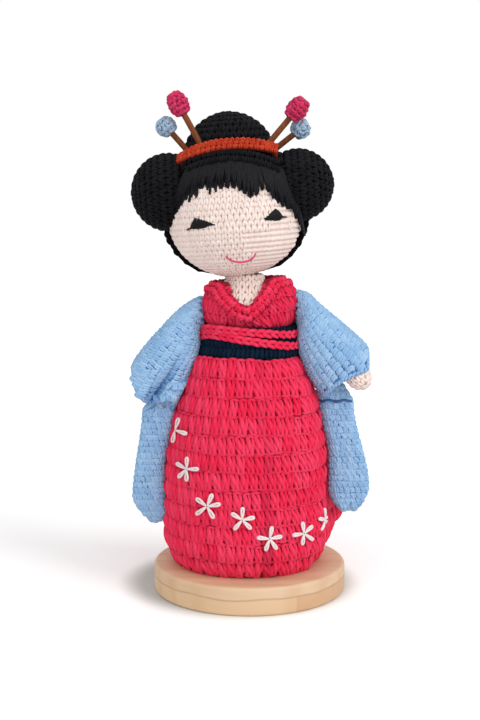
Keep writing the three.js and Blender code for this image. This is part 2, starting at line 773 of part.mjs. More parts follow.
for (const { side, name, shoulder, hand, stations, mouth, drop, gusset } of arms) {
  const arm = new THREE.Group();
  arm.position.z = waist;
  doll.add(arm);

  // Arm: a stuffed tube that tapers to the wrist and ends in a mitten.
  const from = vec(side * ARM_OUT, 0, shoulder);
  const to = vec(side * hand.x, hand.y, hand.z);
  const along = to.clone().sub(from).normalize();
  const across = vec(0, 1, 0).addScaledVector(along, -along.y).normalize();
  const other = along.clone().cross(across);
  const reach = to.distanceTo(from);
  const armRings = [];
  const armSteps = [
    [0, ARM_R * 0.86],
    [0.16, ARM_R],
    [0.42, ARM_R * 0.92],
    [0.74, WRIST_R],
    [0.84, WRIST_R],
  ];
  for (const [share, r] of armSteps) {
    const centre = from.clone().addScaledVector(along, share * reach);
    const bent = Math.min(1, share / 0.4);
    const low = vec(0, 0, side).lerp(other, bent).setLength(r);
    armRings.push(ellipse(centre, vec(0, 1, 0).lerp(across, bent).setLength(r), low, 14));
  }
  for (const turn of [-55, -30, 0, 30, 60, 82]) {
    const centre = to.clone().addScaledVector(along, HAND_R * 1.12 * Math.sin(rad(turn)));
    const r = HAND_R * Math.cos(rad(turn));
    armRings.push(ellipse(centre, across.clone().multiplyScalar(r * 0.94), other.clone().multiplyScalar(r), 14));
  }
  const armSide = new THREE.BoxGeometry(40, 60, 80);
  armSide.translate(side * (ARM_OUT - 20), 0, shoulder);
  piece(arm, `arm_${name}`, cut(loft(armRings), armSide), skinYarn);

  // Sleeve: a flat trumpet round the arm, with a flap below the cuff that the drop hangs from.
  const edges = [0, 1, 2, 3, 4, 5].map((k) => through(stations.map((row, i) => [i / (stations.length - 1), row[k]])));
  const mouthBulge = through(mouth);
  const sleevePoint = (round, out, outer) => {
    const [topX, topZ, lowX, lowZ, half, y] = edges.map((edge) => edge(out));
    const centre = vec((side * (topX + lowX)) / 2, y, (topZ + lowZ) / 2);
    const tall = vec((side * (topX - lowX)) / 2, 0, (topZ - lowZ) / 2);
    const inset = outer ? 0 : WALL_SLEEVE;
    const a = 2 * Math.PI * round;
    const squash = Math.sign(Math.sin(a)) * Math.abs(Math.sin(a)) ** 0.8;
    const bulge = mouthBulge((1 - Math.cos(a)) / 2) * ease(out, 0.6, 1);
    return centre
      .addScaledVector(vec(side * tall.z, 0, -side * tall.x).normalize(), bulge)
      .addScaledVector(tall, Math.cos(a) * (1 - inset / tall.length()))
      .addScaledVector(vec(0, 1, 0), squash * (half - inset));
  };
  const trumpet = panel(sleevePoint, 18, 7, true);
  const flapShape = new THREE.Shape(gusset.map(([x, z]) => new THREE.Vector2(side * x, z)));
  const flap = new THREE.ExtrudeGeometry(flapShape, { depth: DROP_WALL, bevelEnabled: false });
  flap.rotateX(Math.PI / 2);
  flap.translate(0, drop.y + DROP_WALL / 2, 0);
  const hinge = bar(vec(side * 30, drop.y, drop.z), vec(side * 70, drop.y, drop.z), DROP_WALL / 2 + SEAT, 20);
  const spaceRings = armRings.map((ring) => {
    const middle = ring.reduce((sum, p) => sum.addScaledVector(p, 1 / ring.length), vec(0, 0, 0));
    return ring.map((p) => p.clone().add(p.clone().sub(middle).setLength(FIT)));
  });
  spaceRings.push(spaceRings[spaceRings.length - 1].map((p) => p.clone().addScaledVector(along, FIT)));
  const armSpace = loft(spaceRings);
  piece(arm, `sleeve_${name}`, cut(join(trumpet, flap), hinge, armSpace, armSide), sleeveYarn);

  // Drop: the long hanging end of the sleeve, a flat bag with rounded lower corners.
  const dropRings = [];
  const rows = 11;
  for (let i = 0; i <= rows; i += 1) {
    const down = Math.sin((i / rows) * (Math.PI / 2)) ** 1.15;
    const inner = mix(drop.top[0], drop.low[0], ease(down, 0, 0.55));
    const outer = mix(drop.top[1], drop.low[1], ease(down, 0, 0.8));
    const round = Math.sqrt(Math.max(0.05, 1 - Math.max(0, (down - 0.78) / 0.22) ** 2));
    const middle = mix((inner + outer) / 2, drop.tip, ease(down, 0.78, 1));
    const half = ((outer - inner) / 2) * round;
    const thick = (DROP_WALL / 2) * Math.sqrt(Math.max(0.2, round));
    const centre = vec(side * middle, drop.y, drop.z - down * drop.long);
    dropRings.push(ellipse(centre, vec(half, 0, 0), vec(0, thick, 0), 16).map((p) => {
      const edge = Math.abs(p.x - centre.x) / half;
      const full = Math.min(1, 1.35 * Math.sqrt(Math.max(0, 1 - edge * edge)));
      return vec(p.x, centre.y + Math.sign(p.y - centre.y) * thick * full, p.z);
    }));
  }
  const dropTop = bar(
    vec(side * (drop.top[0] + 0.2), drop.y, drop.z),
    vec(side * (drop.top[1] - 0.2), drop.y, drop.z),
    DROP_WALL / 2,
    20,
  );
  piece(arm, `sleeve_drop_${name}`, join(loft(dropRings), dropTop), sleeveYarn);
}

export default root;
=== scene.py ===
import math

import bmesh
import bpy
import numpy as np
from mathutils import Euler, Matrix, Vector
from mathutils.bvhtree import BVHTree


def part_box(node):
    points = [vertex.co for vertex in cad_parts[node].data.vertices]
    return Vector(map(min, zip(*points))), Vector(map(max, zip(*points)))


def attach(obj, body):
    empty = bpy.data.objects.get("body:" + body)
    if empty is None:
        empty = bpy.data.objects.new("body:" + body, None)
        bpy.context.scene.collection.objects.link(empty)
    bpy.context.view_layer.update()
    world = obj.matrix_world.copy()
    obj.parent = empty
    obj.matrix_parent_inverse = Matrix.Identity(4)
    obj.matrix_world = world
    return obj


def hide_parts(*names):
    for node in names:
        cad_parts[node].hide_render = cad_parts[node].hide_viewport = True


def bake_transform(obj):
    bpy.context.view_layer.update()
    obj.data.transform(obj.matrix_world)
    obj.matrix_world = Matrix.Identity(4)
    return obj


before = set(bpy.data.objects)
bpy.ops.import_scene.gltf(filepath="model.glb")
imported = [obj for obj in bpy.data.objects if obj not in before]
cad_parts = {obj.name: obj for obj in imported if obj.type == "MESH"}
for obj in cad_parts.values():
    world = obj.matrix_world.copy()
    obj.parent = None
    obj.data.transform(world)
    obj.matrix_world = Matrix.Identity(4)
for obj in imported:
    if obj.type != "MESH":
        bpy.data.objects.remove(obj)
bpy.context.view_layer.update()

mm = 0.001

# Studio: the camera stands in front of the doll, above its shoulders, and looks slightly down. A
# soft lamp shines from the picture's right and a wider, weaker one from the left. To the camera the
# white floor carries a painted shadow, darkest close round the base, where the photo has its shadow.
def placed(name, data):
    made = bpy.data.objects.new(name, data)
    bpy.context.scene.collection.objects.link(made)
    return made


focal_px = 1271.3
picture_middle = (240, 360)
camera_place = Vector((-5.02, -650, 211.7)) * mm
camera_tilt = 82
view_angle = 31.62
camera = placed("camera", bpy.data.cameras.new("camera"))
camera.location = camera_place
camera.rotation_euler = (math.radians(camera_tilt), 0, 0)
camera.data.sensor_fit = "VERTICAL"
camera.data.sensor_height = 24
camera.data.lens = 12 / math.tan(math.radians(view_angle / 2))
camera.data.clip_start = 0.02
bpy.context.scene.camera = camera
bpy.context.scene.view_settings.view_transform = "Standard"


def lamp(name, place, aim, spread, power):
    data = bpy.data.lights.new(name, "SUN")
    data.angle = math.radians(spread)
    data.energy = power
    light = placed(name, data)
    light.location = place
    light.rotation_euler = (Vector(aim) - Vector(place)).to_track_quat("-Z", "Y").to_euler()


lamp("lamp_key", (0.8, -0.6, 0.75), (0, 0, 0.1), 32, 1.15)
lamp("lamp_front", (-0.25, -0.9, 0.7), (0, 0, 0.1), 70, 0.7)


def feed(tree, value, into):
    """Puts a value in a node's input: another node's output, or a plain number or colour."""
    if isinstance(value, bpy.types.NodeSocket):
        tree.links.new(value, into)
    elif value is not None:
        into.default_value = value


def node(tree, kind, inputs=None, out=0, **values):
    """Adds a node, feeds its inputs and returns one of its outputs."""
    made = tree.nodes.new(kind)
    for key, value in values.items():
        setattr(made, key, value)
    for key, value in (inputs or {}).items():
        feed(tree, value, made.inputs[key])
    return made.outputs[out] if made.outputs else None


world = bpy.data.worlds.new("studio")
world.use_nodes = True
bpy.context.scene.world = world
sky = world.node_tree
sky.nodes.clear()
rays = node(sky, "ShaderNodeLightPath").node.outputs
plain = node(sky, "ShaderNodeBackground", {"Color": (1, 1, 1, 1), "Strength": 0.62})
white = node(sky, "ShaderNodeBackground", {"Color": (1, 1, 1, 1), "Strength": 1})
seen_plainly = node(
    sky, "ShaderNodeMath", {0: rays["Is Camera Ray"], 1: rays["Is Glossy Ray"]}, operation="MAXIMUM")
choice = node(sky, "ShaderNodeMixShader", {0: seen_plainly, 1: plain, 2: white})
node(sky, "ShaderNodeOutputWorld", {"Surface": choice})

floor_sheet = bpy.data.meshes.new("floor")
floor_sheet.from_pydata([(-4, -4, 0), (4, -4, 0), (4, 4, 0), (-4, 4, 0)], [], [(0, 1, 2, 3)])
floor = placed("floor", floor_sheet)
floor_paint = bpy.data.materials.new("floor_paint")
floor_paint.use_nodes = True
paint = floor_paint.node_tree
paint.nodes.clear()
from_base = node(
    paint, "ShaderNodeVectorMath",
    {0: node(paint, "ShaderNodeTexCoord", out="Object"), 1: (-0.005, 0.008, 0)},
    out="Value", operation="DISTANCE")
# painted shadow: camera rays see the floor darkened close round the base, and over-white beyond it
painted_shadow_pool = node(
    paint, "ShaderNodeMapRange",
    {"Value": from_base, "From Min": 0.05, "From Max": 0.068, "To Min": 0.6, "To Max": 1.22},
    interpolation_type="SMOOTHSTEP")
to_camera = node(paint, "ShaderNodeLightPath", out="Is Camera Ray")
tint = node(paint, "ShaderNodeMix", {0: to_camera, 6: (0.9, 0.9, 0.9, 1), 7: painted_shadow_pool}, 2, data_type="RGBA")
matt = node(paint, "ShaderNodeBsdfDiffuse", {"Color": tint})
node(paint, "ShaderNodeOutputMaterial", {"Surface": matt})
floor_sheet.materials.append(floor_paint)


# Base: a disc sawn from an edge-glued pine board, sanded, with its two rims rounded over. Its grain
# runs from side to side, and a blind hole in the middle takes the post.
def linear(colour):
    parts = [int(colour[i:i + 2], 16) / 255 for i in (1, 3, 5)]
    return tuple(c / 12.92 if c < 0.04045 else ((c + 0.055) / 1.055) ** 2.4 for c in parts) + (1,)


def mesh_piece(name, points, faces):
    data = bpy.data.meshes.new(name)
    data.from_pydata([tuple(p) for p in points], [], faces)
    data.validate()
    data.shade_smooth()
    return placed(name, data)


def turned(name, profile, sides):
    """A solid of revolution round the Z axis: profile runs from the axis back to the axis."""
    points = []
    faces = []
    for k, (r, z) in enumerate(profile):
        start = len(points)
        if k in (0, len(profile) - 1):
            points.append((0, 0, z))
        else:
            turns = [math.tau * i / sides for i in range(sides)]
            points += [(r * math.cos(t), r * math.sin(t), z) for t in turns]
        for i in range(sides if k else 0):
            j = (i + 1) % sides
            if k == 1:
                faces.append((last, start + j, start + i))
            elif k == len(profile) - 1:
                faces.append((last + i, last + j, start))
            else:
                faces.append((last + i, last + j, start + j, start + i))
        last = start
    return mesh_piece(name, points, faces)


def coords(tree, scale=(1, 1, 1)):
    where = node(tree, "ShaderNodeTexCoord", out="Object")
    return node(tree, "ShaderNodeMapping", {"Vector": where, "Scale": scale})


def noise(tree, where, scale, detail=3.0, rough=0.5):
    inputs = {"Vector": where, "Scale": scale, "Detail": detail, "Roughness": rough}
    return node(tree, "ShaderNodeTexNoise", inputs, "Fac")


def ramp(tree, source, stops):
    made = node(tree, "ShaderNodeValToRGB", {"Fac": source})
    elements = made.node.color_ramp.elements
    while len(elements) < len(stops):
        elements.new(0.5)
    for element, (place, colour) in zip(elements, stops):
        element.position = place
        element.color = colour
    return made


def maths(tree, operation, *values):
    return node(tree, "ShaderNodeMath", dict(enumerate(values)), operation=operation)


def blended(tree, share, a, b):
    return node(tree, "ShaderNodeMix", {0: share, 6: a, 7: b}, 2, data_type="RGBA")


def bumped(tree, height, strength, distance, below=None):
    inputs = {"Strength": strength, "Distance": distance, "Height": height, "Normal": below}
    return node(tree, "ShaderNodeBump", inputs)


def finish_of(name, roughness, sheen=0.0, specular=0.5):
    made = bpy.data.materials.new(name)
    made.use_nodes = True
    surface = made.node_tree.nodes["Principled BSDF"].inputs
    surface["Roughness"].default_value = roughness
    surface["Specular IOR Level"].default_value = specular
    surface["Sheen Weight"].default_value = sheen
    return made, made.node_tree, surface


def step_up(tree, value, sharp):
    """0 where the value is well under zero and 1 where it is well over it."""
    share = maths(tree, "MULTIPLY_ADD", value, sharp, 0.5)
    return ramp(tree, share, [(0.2, (0, 0, 0, 1)), (0.8, (1, 1, 1, 1))])


glue_line_z = 6 * mm
glue_line_wave = 5 * mm
stave_edge_x = 23 * mm
pine, tree, surface = finish_of("pine", 0.55, specular=0.35)
wander = noise(tree, coords(tree, (9, 60, 60)), 1.0, 4, 0.6)
tone = ramp(tree, wander, [(0.25, linear("#cfab86")), (0.5, linear("#dab997")), (0.75, linear("#e3c7a8"))])
place = node(tree, "ShaderNodeSeparateXYZ", {0: coords(tree)}).node.outputs
line_wave = noise(tree, coords(tree, (22, 22, 4)), 1.0, 2)
line_height = maths(tree, "MULTIPLY_ADD", line_wave, glue_line_wave, glue_line_z)
from_line = maths(tree, "SUBTRACT", place["Z"], line_height)
above = step_up(tree, from_line, 600.0)
beyond = step_up(tree, maths(tree, "SUBTRACT", place["X"], stave_edge_x), 900.0)
stave = blended(tree, beyond, linear("#dcbb92"), linear("#c6976c"))
board = blended(tree, above, blended(tree, 0.55, tone, stave), tone)
near_line = maths(tree, "MULTIPLY", maths(tree, "ABSOLUTE", from_line), 1000.0)
seam = ramp(tree, near_line, [(0.1, (0.55, 0.55, 0.55, 1)), (0.75, (0, 0, 0, 1))])
lined = blended(tree, seam, board, linear("#ab855e"))
wave = {"Scale": 28, "Distortion": 9, "Detail": 2, "Detail Scale": 0.35}
wave["Vector"] = coords(tree, (0.35, 1, 0.6))
rings = node(tree, "ShaderNodeTexWave", wave, "Fac", wave_type="BANDS", bands_direction="Y")
ring_share = ramp(tree, rings, [(0.55, (0, 0, 0, 1)), (0.95, (0.3, 0.3, 0.3, 1))])
feed(tree, blended(tree, ring_share, lined, linear("#cda37c")), surface["Base Color"])
fibre = noise(tree, coords(tree, (150, 1800, 1800)), 1.0, 3, 0.6)
feed(tree, bumped(tree, fibre, 0.25, 0.2 * mm), surface["Normal"])

base_r = 50 * mm
base_h = 14.5 * mm
base_edge = 1.8 * mm
hole_r = 4.3 * mm
hole_floor = 5.6 * mm
rim = [(0, 0)]
for middle, start in ((base_edge, -90), (base_h - base_edge, 0)):
    for k in range(9):
        t = math.radians(start + 90 * k / 8)
        rim.append((base_r - base_edge + base_edge * math.cos(t), middle + base_edge * math.sin(t)))
rim += [(hole_r, base_h), (hole_r, hole_floor), (0, hole_floor)]
disc = turned("wooden_base", rim, 160)
disc.data.materials.append(pine)
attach(disc, "stand")
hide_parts("base_disc")


# Post and neck dowel: plain birch dowels. The post is glued in the base and runs up inside the
# body, and the neck dowel carries the head.
def wood(name, dark, pale, stretch, relief, roughness, specular):
    """Plain wood whose grain is drawn out by its noise scale along x, y and z."""
    made, tree, surface = finish_of(name, roughness, specular=specular)
    streaks = noise(tree, coords(tree, stretch), 1.0, 4, 0.6)
    tone = ramp(tree, streaks, [(0.3, linear(dark)), (0.7, linear(pale))])
    feed(tree, tone, surface["Base Color"])
    feed(tree, bumped(tree, streaks, 0.2, relief), surface["Normal"])
    return made


birch = wood("birch", "#c49a6c", "#dcbd92", (300, 300, 18), 0.2 * mm, 0.6, 0.3)
for name in ("post", "neck_dowel"):
    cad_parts[name].data.materials.clear()
    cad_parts[name].data.materials.append(birch)


# Body: one stuffed piece of cream cotton, a bell under the skirt with the chest and neck above it.
# It is worked in single crochet, and its stitches show on the neck, over the neckline.
def attribute(tree, name):
    return node(tree, "ShaderNodeAttribute", out="Fac", attribute_name=name)


def yarn_finish(name, colour, deep, pale, ply=0.5, sheen=0.08, specular=0.15):
    """Cotton yarn: twisted plies across each strand, small fibres, and painted shade (the deep colour)
    between and under stitches.
    """
    made, tree, surface = finish_of(name, 0.85, sheen, specular)
    surface["Sheen Roughness"].default_value = 0.5
    strand = node(tree, "ShaderNodeUVMap", uv_map="yarn")
    parts = node(tree, "ShaderNodeSeparateXYZ", {0: strand}).node.outputs
    turn = maths(tree, "MULTIPLY_ADD", parts["Y"], 2.0, parts["X"])
    plies = maths(tree, "SINE", maths(tree, "MULTIPLY", turn, math.tau))
    fuzz = noise(tree, coords(tree), 2200, 2, 0.6)
    light = maths(tree, "MULTIPLY_ADD", plies, 0.10, 0.17)
    light = maths(tree, "MULTIPLY_ADD", attribute(tree, "shade"), 0.16, light)
    light = maths(tree, "MULTIPLY_ADD", noise(tree, coords(tree), 110, 2), 0.3, light)
    light = maths(tree, "MULTIPLY_ADD", fuzz, 0.3, light)
    tone = ramp(tree, light, [(0.25, linear(colour)), (0.85, linear(pale))])
    # painted shade: the cloth under the stitches and the low parts of strands take the deep colour, and so,
    # in part, do stitches whose spot carries a painted shade value
    between = maths(tree, "MAXIMUM", attribute(tree, "deep"), attribute(tree, "painted_shade"))
    feed(tree, blended(tree, between, tone, linear(deep)), surface["Base Color"])
    fine = bumped(tree, fuzz, 0.35, 0.25 * mm)
    lumps = bumped(tree, noise(tree, coords(tree), 620, 2, 0.5), 0.55, 0.6 * mm, fine)
    feed(tree, bumped(tree, plies, ply, 0.12 * mm, lumps), surface["Normal"])
    return made


def smooth_path(points, count):
    """A Catmull-Rom curve through the points."""
    p = [Vector(q) for q in points]
    p = [2 * p[0] - p[1]] + p + [2 * p[-1] - p[-2]]
    path = []
    for k in range(count):
        t = (len(p) - 3) * k / (count - 1)
        i = min(int(t), len(p) - 4)
        f = t - i
        a, b, c, d = p[i:i + 4]
        square, cube = 2 * a - 5 * b + 4 * c - d, 3 * b - a - 3 * c + d
        path.append(0.5 * (2 * b + (c - a) * f + square * f * f + cube * f ** 3))
    return path


def mark(data, name, values):
    """Gives every point of a mesh a number."""
    data.attributes.new(name, "FLOAT", "POINT").data.foreach_set("value", values)


def stitch(name, size, strands, sides=5):
    """A stitch laid flat: x runs along the row, y up to the next row and z out of the cloth, in mm.
    size is the width and height that it fills, and each strand is (points, radius, rings)."""
    points, faces, marks = [], [], []
    for spine, radius, rings in strands:
        path = smooth_path(spine, rings)
        start = len(points)
        run = 0.0
        spots = []
        for k, p in enumerate(path):
            ahead = (path[min(k + 1, rings - 1)] - path[max(k - 1, 0)]).normalized()
            side = ahead.cross(Vector((0, 0, 1))).normalized()
            up = side.cross(ahead)
            run += (p - path[k - 1]).length if k else 0
            full = radius * (0.72 + 0.28 * math.sin(math.pi * k / (rings - 1)) ** 0.6)
            for i in range(sides):
                t = math.tau * (i + 0.5) / sides
                points.append((p + side * full * math.cos(t) + up * full * math.sin(t)) * mm)
            spots.append(run / (3.4 * radius))
        ends = []
        for p, q in ((path[0], path[1]), (path[-1], path[-2])):
            ends.append(len(points))
            points.append((p + (p - q).normalized() * radius * 0.5) * mm)
        for k in range(rings - 1):
            for i in range(sides):
                j = (i + 1) % sides
                a, b = start + k * sides, start + (k + 1) * sides
                faces.append((a + i, b + i, b + j, a + j))
                lo, hi = i / sides, (i + 1) / sides
                marks += [(spots[k], lo), (spots[k + 1], lo), (spots[k + 1], hi), (spots[k], hi)]
        for i in range(sides):
            j = (i + 1) % sides
            faces.append((ends[0], start + i, start + j))
            marks += [(spots[0], i / sides)] * 3
            last = start + (rings - 1) * sides
            faces.append((ends[1], last + j, last + i))
            marks += [(spots[-1], i / sides)] * 3
    made = mesh_piece(name, points, faces)
    layer = made.data.uv_layers.new(name="yarn")
    layer.data.foreach_set("uv", np.array(marks, float).ravel())
    # The low parts of the strands, down in the crevices between them, get the deep colour: painted shade.
    crest = max(p[2] for p in points)
    mark(made.data, "deep", [min(1, max(0, (0.4 - p[2] / crest) / 0.4)) for p in points])
    made["size"] = size
    made.hide_render = True
    return made


stitch_work = bpy.data.node_groups.new("stitch work", "GeometryNodeTree")
for label, way, kind in (
        ("Spots", "INPUT", "NodeSocketGeometry"), ("Stitch", "INPUT", "NodeSocketObject"),
        ("Cloth under", "INPUT", "NodeSocketObject"), ("Yarn", "INPUT", "NodeSocketMaterial"),
        ("Plumpness", "INPUT", "NodeSocketFloat"), ("Worked piece", "OUTPUT", "NodeSocketGeometry")):
    stitch_work.interface.new_socket(label, in_out=way, socket_type=kind)
ask = node(stitch_work, "NodeGroupInput").node.outputs
one, under = [
    node(stitch_work, "GeometryNodeObjectInfo", {"Object": ask[label]}, "Geometry",
         transform_space="ORIGINAL")
    for label in ("Stitch", "Cloth under")]
turn_of, size_of = [
    node(stitch_work, "GeometryNodeInputNamedAttribute", {"Name": label}, data_type="FLOAT_VECTOR")
    for label in ("turn", "size")]
as_turn = node(stitch_work, "FunctionNodeEulerToRotation", {0: turn_of})
swell = node(stitch_work, "ShaderNodeCombineXYZ", {"X": 1, "Y": 1, "Z": ask["Plumpness"]})
swelled = node(stitch_work, "ShaderNodeVectorMath", {0: size_of, 1: swell}, operation="MULTIPLY")
copies = node(stitch_work, "GeometryNodeInstanceOnPoints", {
    "Points": ask["Spots"], "Instance": one, "Rotation": as_turn, "Scale": swelled})
real = node(stitch_work, "GeometryNodeRealizeInstances", {0: copies})
both = node(stitch_work, "GeometryNodeJoinGeometry", {0: real})
feed(stitch_work, under, both.node.inputs[0])
dyed = node(stitch_work, "GeometryNodeSetMaterial", {"Geometry": both, "Material": ask["Yarn"]})
node(stitch_work, "NodeGroupOutput", {0: dyed})

chance = np.random.default_rng(7)


def baked(holder):
    """The mesh that an object shows with its modifiers. The object itself goes."""
    bpy.context.view_layer.update()
    graph = bpy.context.evaluated_depsgraph_get()
    data = bpy.data.meshes.new_from_object(holder.evaluated_get(graph))
    bpy.data.objects.remove(holder)
    return data


def worked(name, groups, under_cloth, yarn, plump=1.0, loose=0.045):
    """Sets stitches on their spots over the cloth, and makes one plain mesh of it. groups is a list
    of (stitch, spots), and each spot is (place, along the row, up the rows, width share, height share),
    with, as a sixth, from 0 to 1, how much painted shade darkens its stitch, as in a fold."""
    layers = []
    for number, (shape, spots) in enumerate(groups):
        data = bpy.data.meshes.new(name + "_spots")
        data.from_pydata([tuple(s[0]) for s in spots], [], [])
        turns, sizes = [], []
        for place, along, up, wide, high in [s[:5] for s in spots]:
            out = along.cross(up).normalized()
            x = along.normalized()
            turn = Matrix((x, out.cross(x), out)).transposed().to_3x3()
            turn = turn @ Euler((0, 0, chance.normal(0, loose))).to_matrix()
            turns += list(turn.to_euler())
            swing = 1 + chance.normal(0, 0.02 + 0.3 * loose)
            sizes += [wide * swing, high * swing, (wide * high) ** 0.5]
        for label, values in (("turn", turns), ("size", sizes)):
            data.attributes.new(label, "FLOAT_VECTOR", "POINT").data.foreach_set("vector", values)
        mark(data, "shade", chance.uniform(-1, 1, len(spots)).astype(np.float32))
        # the sixth value of a spot: how much painted shade darkens its stitch
        mark(data, "painted_shade", [s[5] if len(s) > 5 else 0.0 for s in spots])
        holder = placed(f"{name}_{number}", data)
        work = holder.modifiers.new("stitches", "NODES")
        work.node_group = stitch_work
        inputs = {s.name: s.identifier for s in stitch_work.interface.items_tree if s.in_out == "INPUT"}
        work[inputs["Stitch"]] = shape
        work[inputs["Cloth under"]] = under_cloth if number == 0 else None
        work[inputs["Yarn"]] = yarn
        work[inputs["Plumpness"]] = plump
        layers.append(baked(holder))
    made = placed(name, layers[0])
    if len(layers) > 1:
        whole = bmesh.new()
        for layer in layers:
            whole.from_mesh(layer)
        whole.to_mesh(made.data)
        whole.free()
    made.data.name = name
    if under_cloth is not None:
        bpy.data.objects.remove(under_cloth)
    return made


def as_cloth(made):
    """Marks a mesh as the cloth under stitches, which takes the deep colour as painted shade between them.
    """
    made.data.uv_layers.new(name="yarn")
    mark(made.data, "deep", [1.0] * len(made.data.vertices))
    made.hide_render = True
    return made


def cloth_under(*names, sink=0.6 * mm):
    """The plain cloth of CAD nodes, a little thinner, to lie under the stitches."""
    shape = bmesh.new()
    for name in names:
        shape.from_mesh(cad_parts[name].data)
    bmesh.ops.remove_doubles(shape, verts=shape.verts, dist=1e-5)
    bmesh.ops.recalc_face_normals(shape, faces=shape.faces)
    shape.normal_update()
    for v, move in [(v, v.normal * -sink) for v in shape.verts]:
        v.co += move
    data = bpy.data.meshes.new("cloth")
    shape.to_mesh(data)
    shape.free()
    data.materials.clear()
    data.shade_smooth()
    for layer in list(data.uv_layers):
        data.uv_layers.remove(layer)
    return as_cloth(placed("cloth", data))


def cloth_of(rings):
    """Plain cloth through closed rings of points, filled in at its two ends."""
    count = len(rings[0])
    points = [p for ring in rings for p in ring]
    faces = [tuple(range(count))[::-1], tuple(range(len(points) - count, len(points)))]
    for k in range(len(rings) - 1):
        for i in range(count):
            j = (i + 1) % count
            faces.append((k * count + i, k * count + j, (k + 1) * count + j, (k + 1) * count + i))
    return as_cloth(mesh_piece("cloth", points, faces))


def surface_of(*names):
    shape = bmesh.new()
    for name in names:
        shape.from_mesh(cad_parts[name].data)
    found = BVHTree.FromBMesh(shape)
    shape.free()
    return found


def touch(surface, start, aim):
    """Where a straight line from start towards aim first meets the surface. A line that slips between
    two faces is tried again close by."""
    way = aim - start
    beside = start + Vector((0.011, 0.007, 0.013)) * mm
    for place in (start, beside):
        found = surface.ray_cast(place, way.normalized(), way.length)[0]
        if found:
            return found
    return None


def from_side(surface, x, turn, z, far=0.1, depth=1.0):
    """Where a level line from outside to the upright axis at x meets the surface. turn is in degrees."""
    aim = Vector((x, 0, z))
    a = math.radians(turn)
    return touch(surface, aim + Vector((math.cos(a), depth * math.sin(a), 0)) * far, aim)


def row_spots(on, v, around, room, shape, rise=0.0, phase=0.0, closed=True):
    """Spots for one row of a stitch. on(u, v) is a point of the surface, around the row's first and
    last u, and room the width of a stitch in metres and its height in the unit of v."""
    wide, high = room
    stitch_wide, stitch_high = [side * mm for side in shape["size"]]
    us = np.linspace(*around, 181)
    line = [on(u, v(u)) for u in us]
    steps = [0.0]
    for a, b in zip(line, line[1:]):
        steps.append(steps[-1] + ((b - a).length if a is not None and b is not None else 0.0))
    count = max(1, round(steps[-1] / wide))
    spots = []
    for k in range(count):
        goal = ((k + phase) % count + (0 if closed else 0.5)) / count * steps[-1]
        u = float(np.interp(goal, steps, us))
        du = (around[1] - around[0]) / count * 0.6
        centre = on(u, v(u))
        left, right = on(u - du, v(u - du)), on(u + du, v(u + du))
        low, top = on(u, v(u) - 0.45 * high), on(u, v(u) + 0.45 * high)
        if None in (centre, left, right):
            continue
        along = right - left
        up = (top or centre) - (low or centre)
        if along.length < 1e-6 or up.length < 1e-6 or along.length > 4 * wide + 2 * mm:
            continue
        out = along.cross(up).normalized()
        tall = up.length / 0.9 if None not in (low, top) else stitch_high
        spots.append((centre + out * rise, along, up, steps[-1] / count / stitch_wide, tall / stitch_high))
    return spots


def rows(on, numbers, height, around, room, shape, shift=0.5, **more):
    """Spots for several rows, where height(k) is the v of row k. shift is how far, in stitches, each
    row is set off from the one before."""
    spots = []
    for k in numbers:
        spots += row_spots(on, lambda u: height(k), around, room, shape, phase=shift * k, **more)
    return spots


skin_yarn = yarn_finish("skin_yarn", "#f3dfd6", "#e0c8bf", "#fff3ed", sheen=0.04)
# A single crochet shows as a small V, whose two legs lean together.
single = stitch("single", (3.0, 3.1), [
    ([(-1.3, 1.7, -0.1), (-0.95, 0.8, 0.5), (-0.7, -0.5, 0.5), (-0.45, -1.7, -0.1)], 0.95, 5),
    ([(1.3, 1.7, -0.1), (0.95, 0.8, 0.5), (0.7, -0.5, 0.5), (0.45, -1.7, -0.1)], 0.95, 5),
])
body_surface = surface_of("body")
all_round = (0, 360)
neck_x = -2.5 * mm
neck_foot = 129 * mm
neck_gauge = 3.1 * mm
neck_spots = rows(
    lambda u, v: from_side(body_surface, neck_x, u, v), range(12), lambda k: neck_foot + neck_gauge * k,
    all_round, (neck_gauge, neck_gauge), single)
body = worked("stuffed_body", [(single, neck_spots)], cloth_under("body", sink=0.3 * mm), skin_yarn)
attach(body, "doll")
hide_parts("body")


# Skirt: one long panel of pink double crochet, wrapped round the body and sewn at the waist. Its
# outer edge runs down the doll's left front, and the lower end flares out behind it.
dress_yarn = yarn_finish("dress_yarn", "#ea2049", "#b80f3a", "#f64a70", sheen=0.04)
# A double crochet: a tall post that leans to the right as it goes down, the loops beside it, a chain.
double = stitch("double", (4.85, 9.2), [
    ([(-1.45, 4.5, 0.1), (-1.1, 2.4, 1.0), (-0.05, 0.0, 1.25), (1.05, -2.4, 1.05), (1.55, -4.7, 0.5)],
     1.32, 7),
    ([(0.9, 4.3, -0.1), (1.55, 2.0, 0.6), (1.8, 0.0, 0.6), (1.9, -1.8, 0.2)], 1.12, 6),
    ([(-1.7, 1.0, 0.1), (-1.5, -0.8, 0.6), (-1.0, -2.6, 0.75), (-0.5, -4.8, 0.4)], 1.2, 6),
    ([(-2.5, -3.9, 0.2), (0.0, -4.3, 0.6), (2.5, -4.1, 0.2)], 1.0, 4),
    ([(-2.6, 4.3, 0.0), (0.0, 4.7, 0.35), (2.6, 4.3, 0.0)], 0.9, 4),
])
skirt_surface = surface_of("skirt")
skirt_x = -1.2 * mm
skirt_deep = 0.92
hem_z = 14.8 * mm
skirt_h = 108.6 * mm


def ease(x, start, end):
    t = max(0.0, min(1.0, (x - start) / (end - start)))
    return t * t * (3 - 2 * t)


def hump(x, middle, wide):
    """1 at the middle, and sinking to nothing on both sides."""
    return math.exp(-((x - middle) / wide) ** 2)


def skirt_turn(place):
    """The azimuth of a place round the skirt, in degrees."""
    return math.degrees(math.atan2(place.y / skirt_deep, place.x - skirt_x))


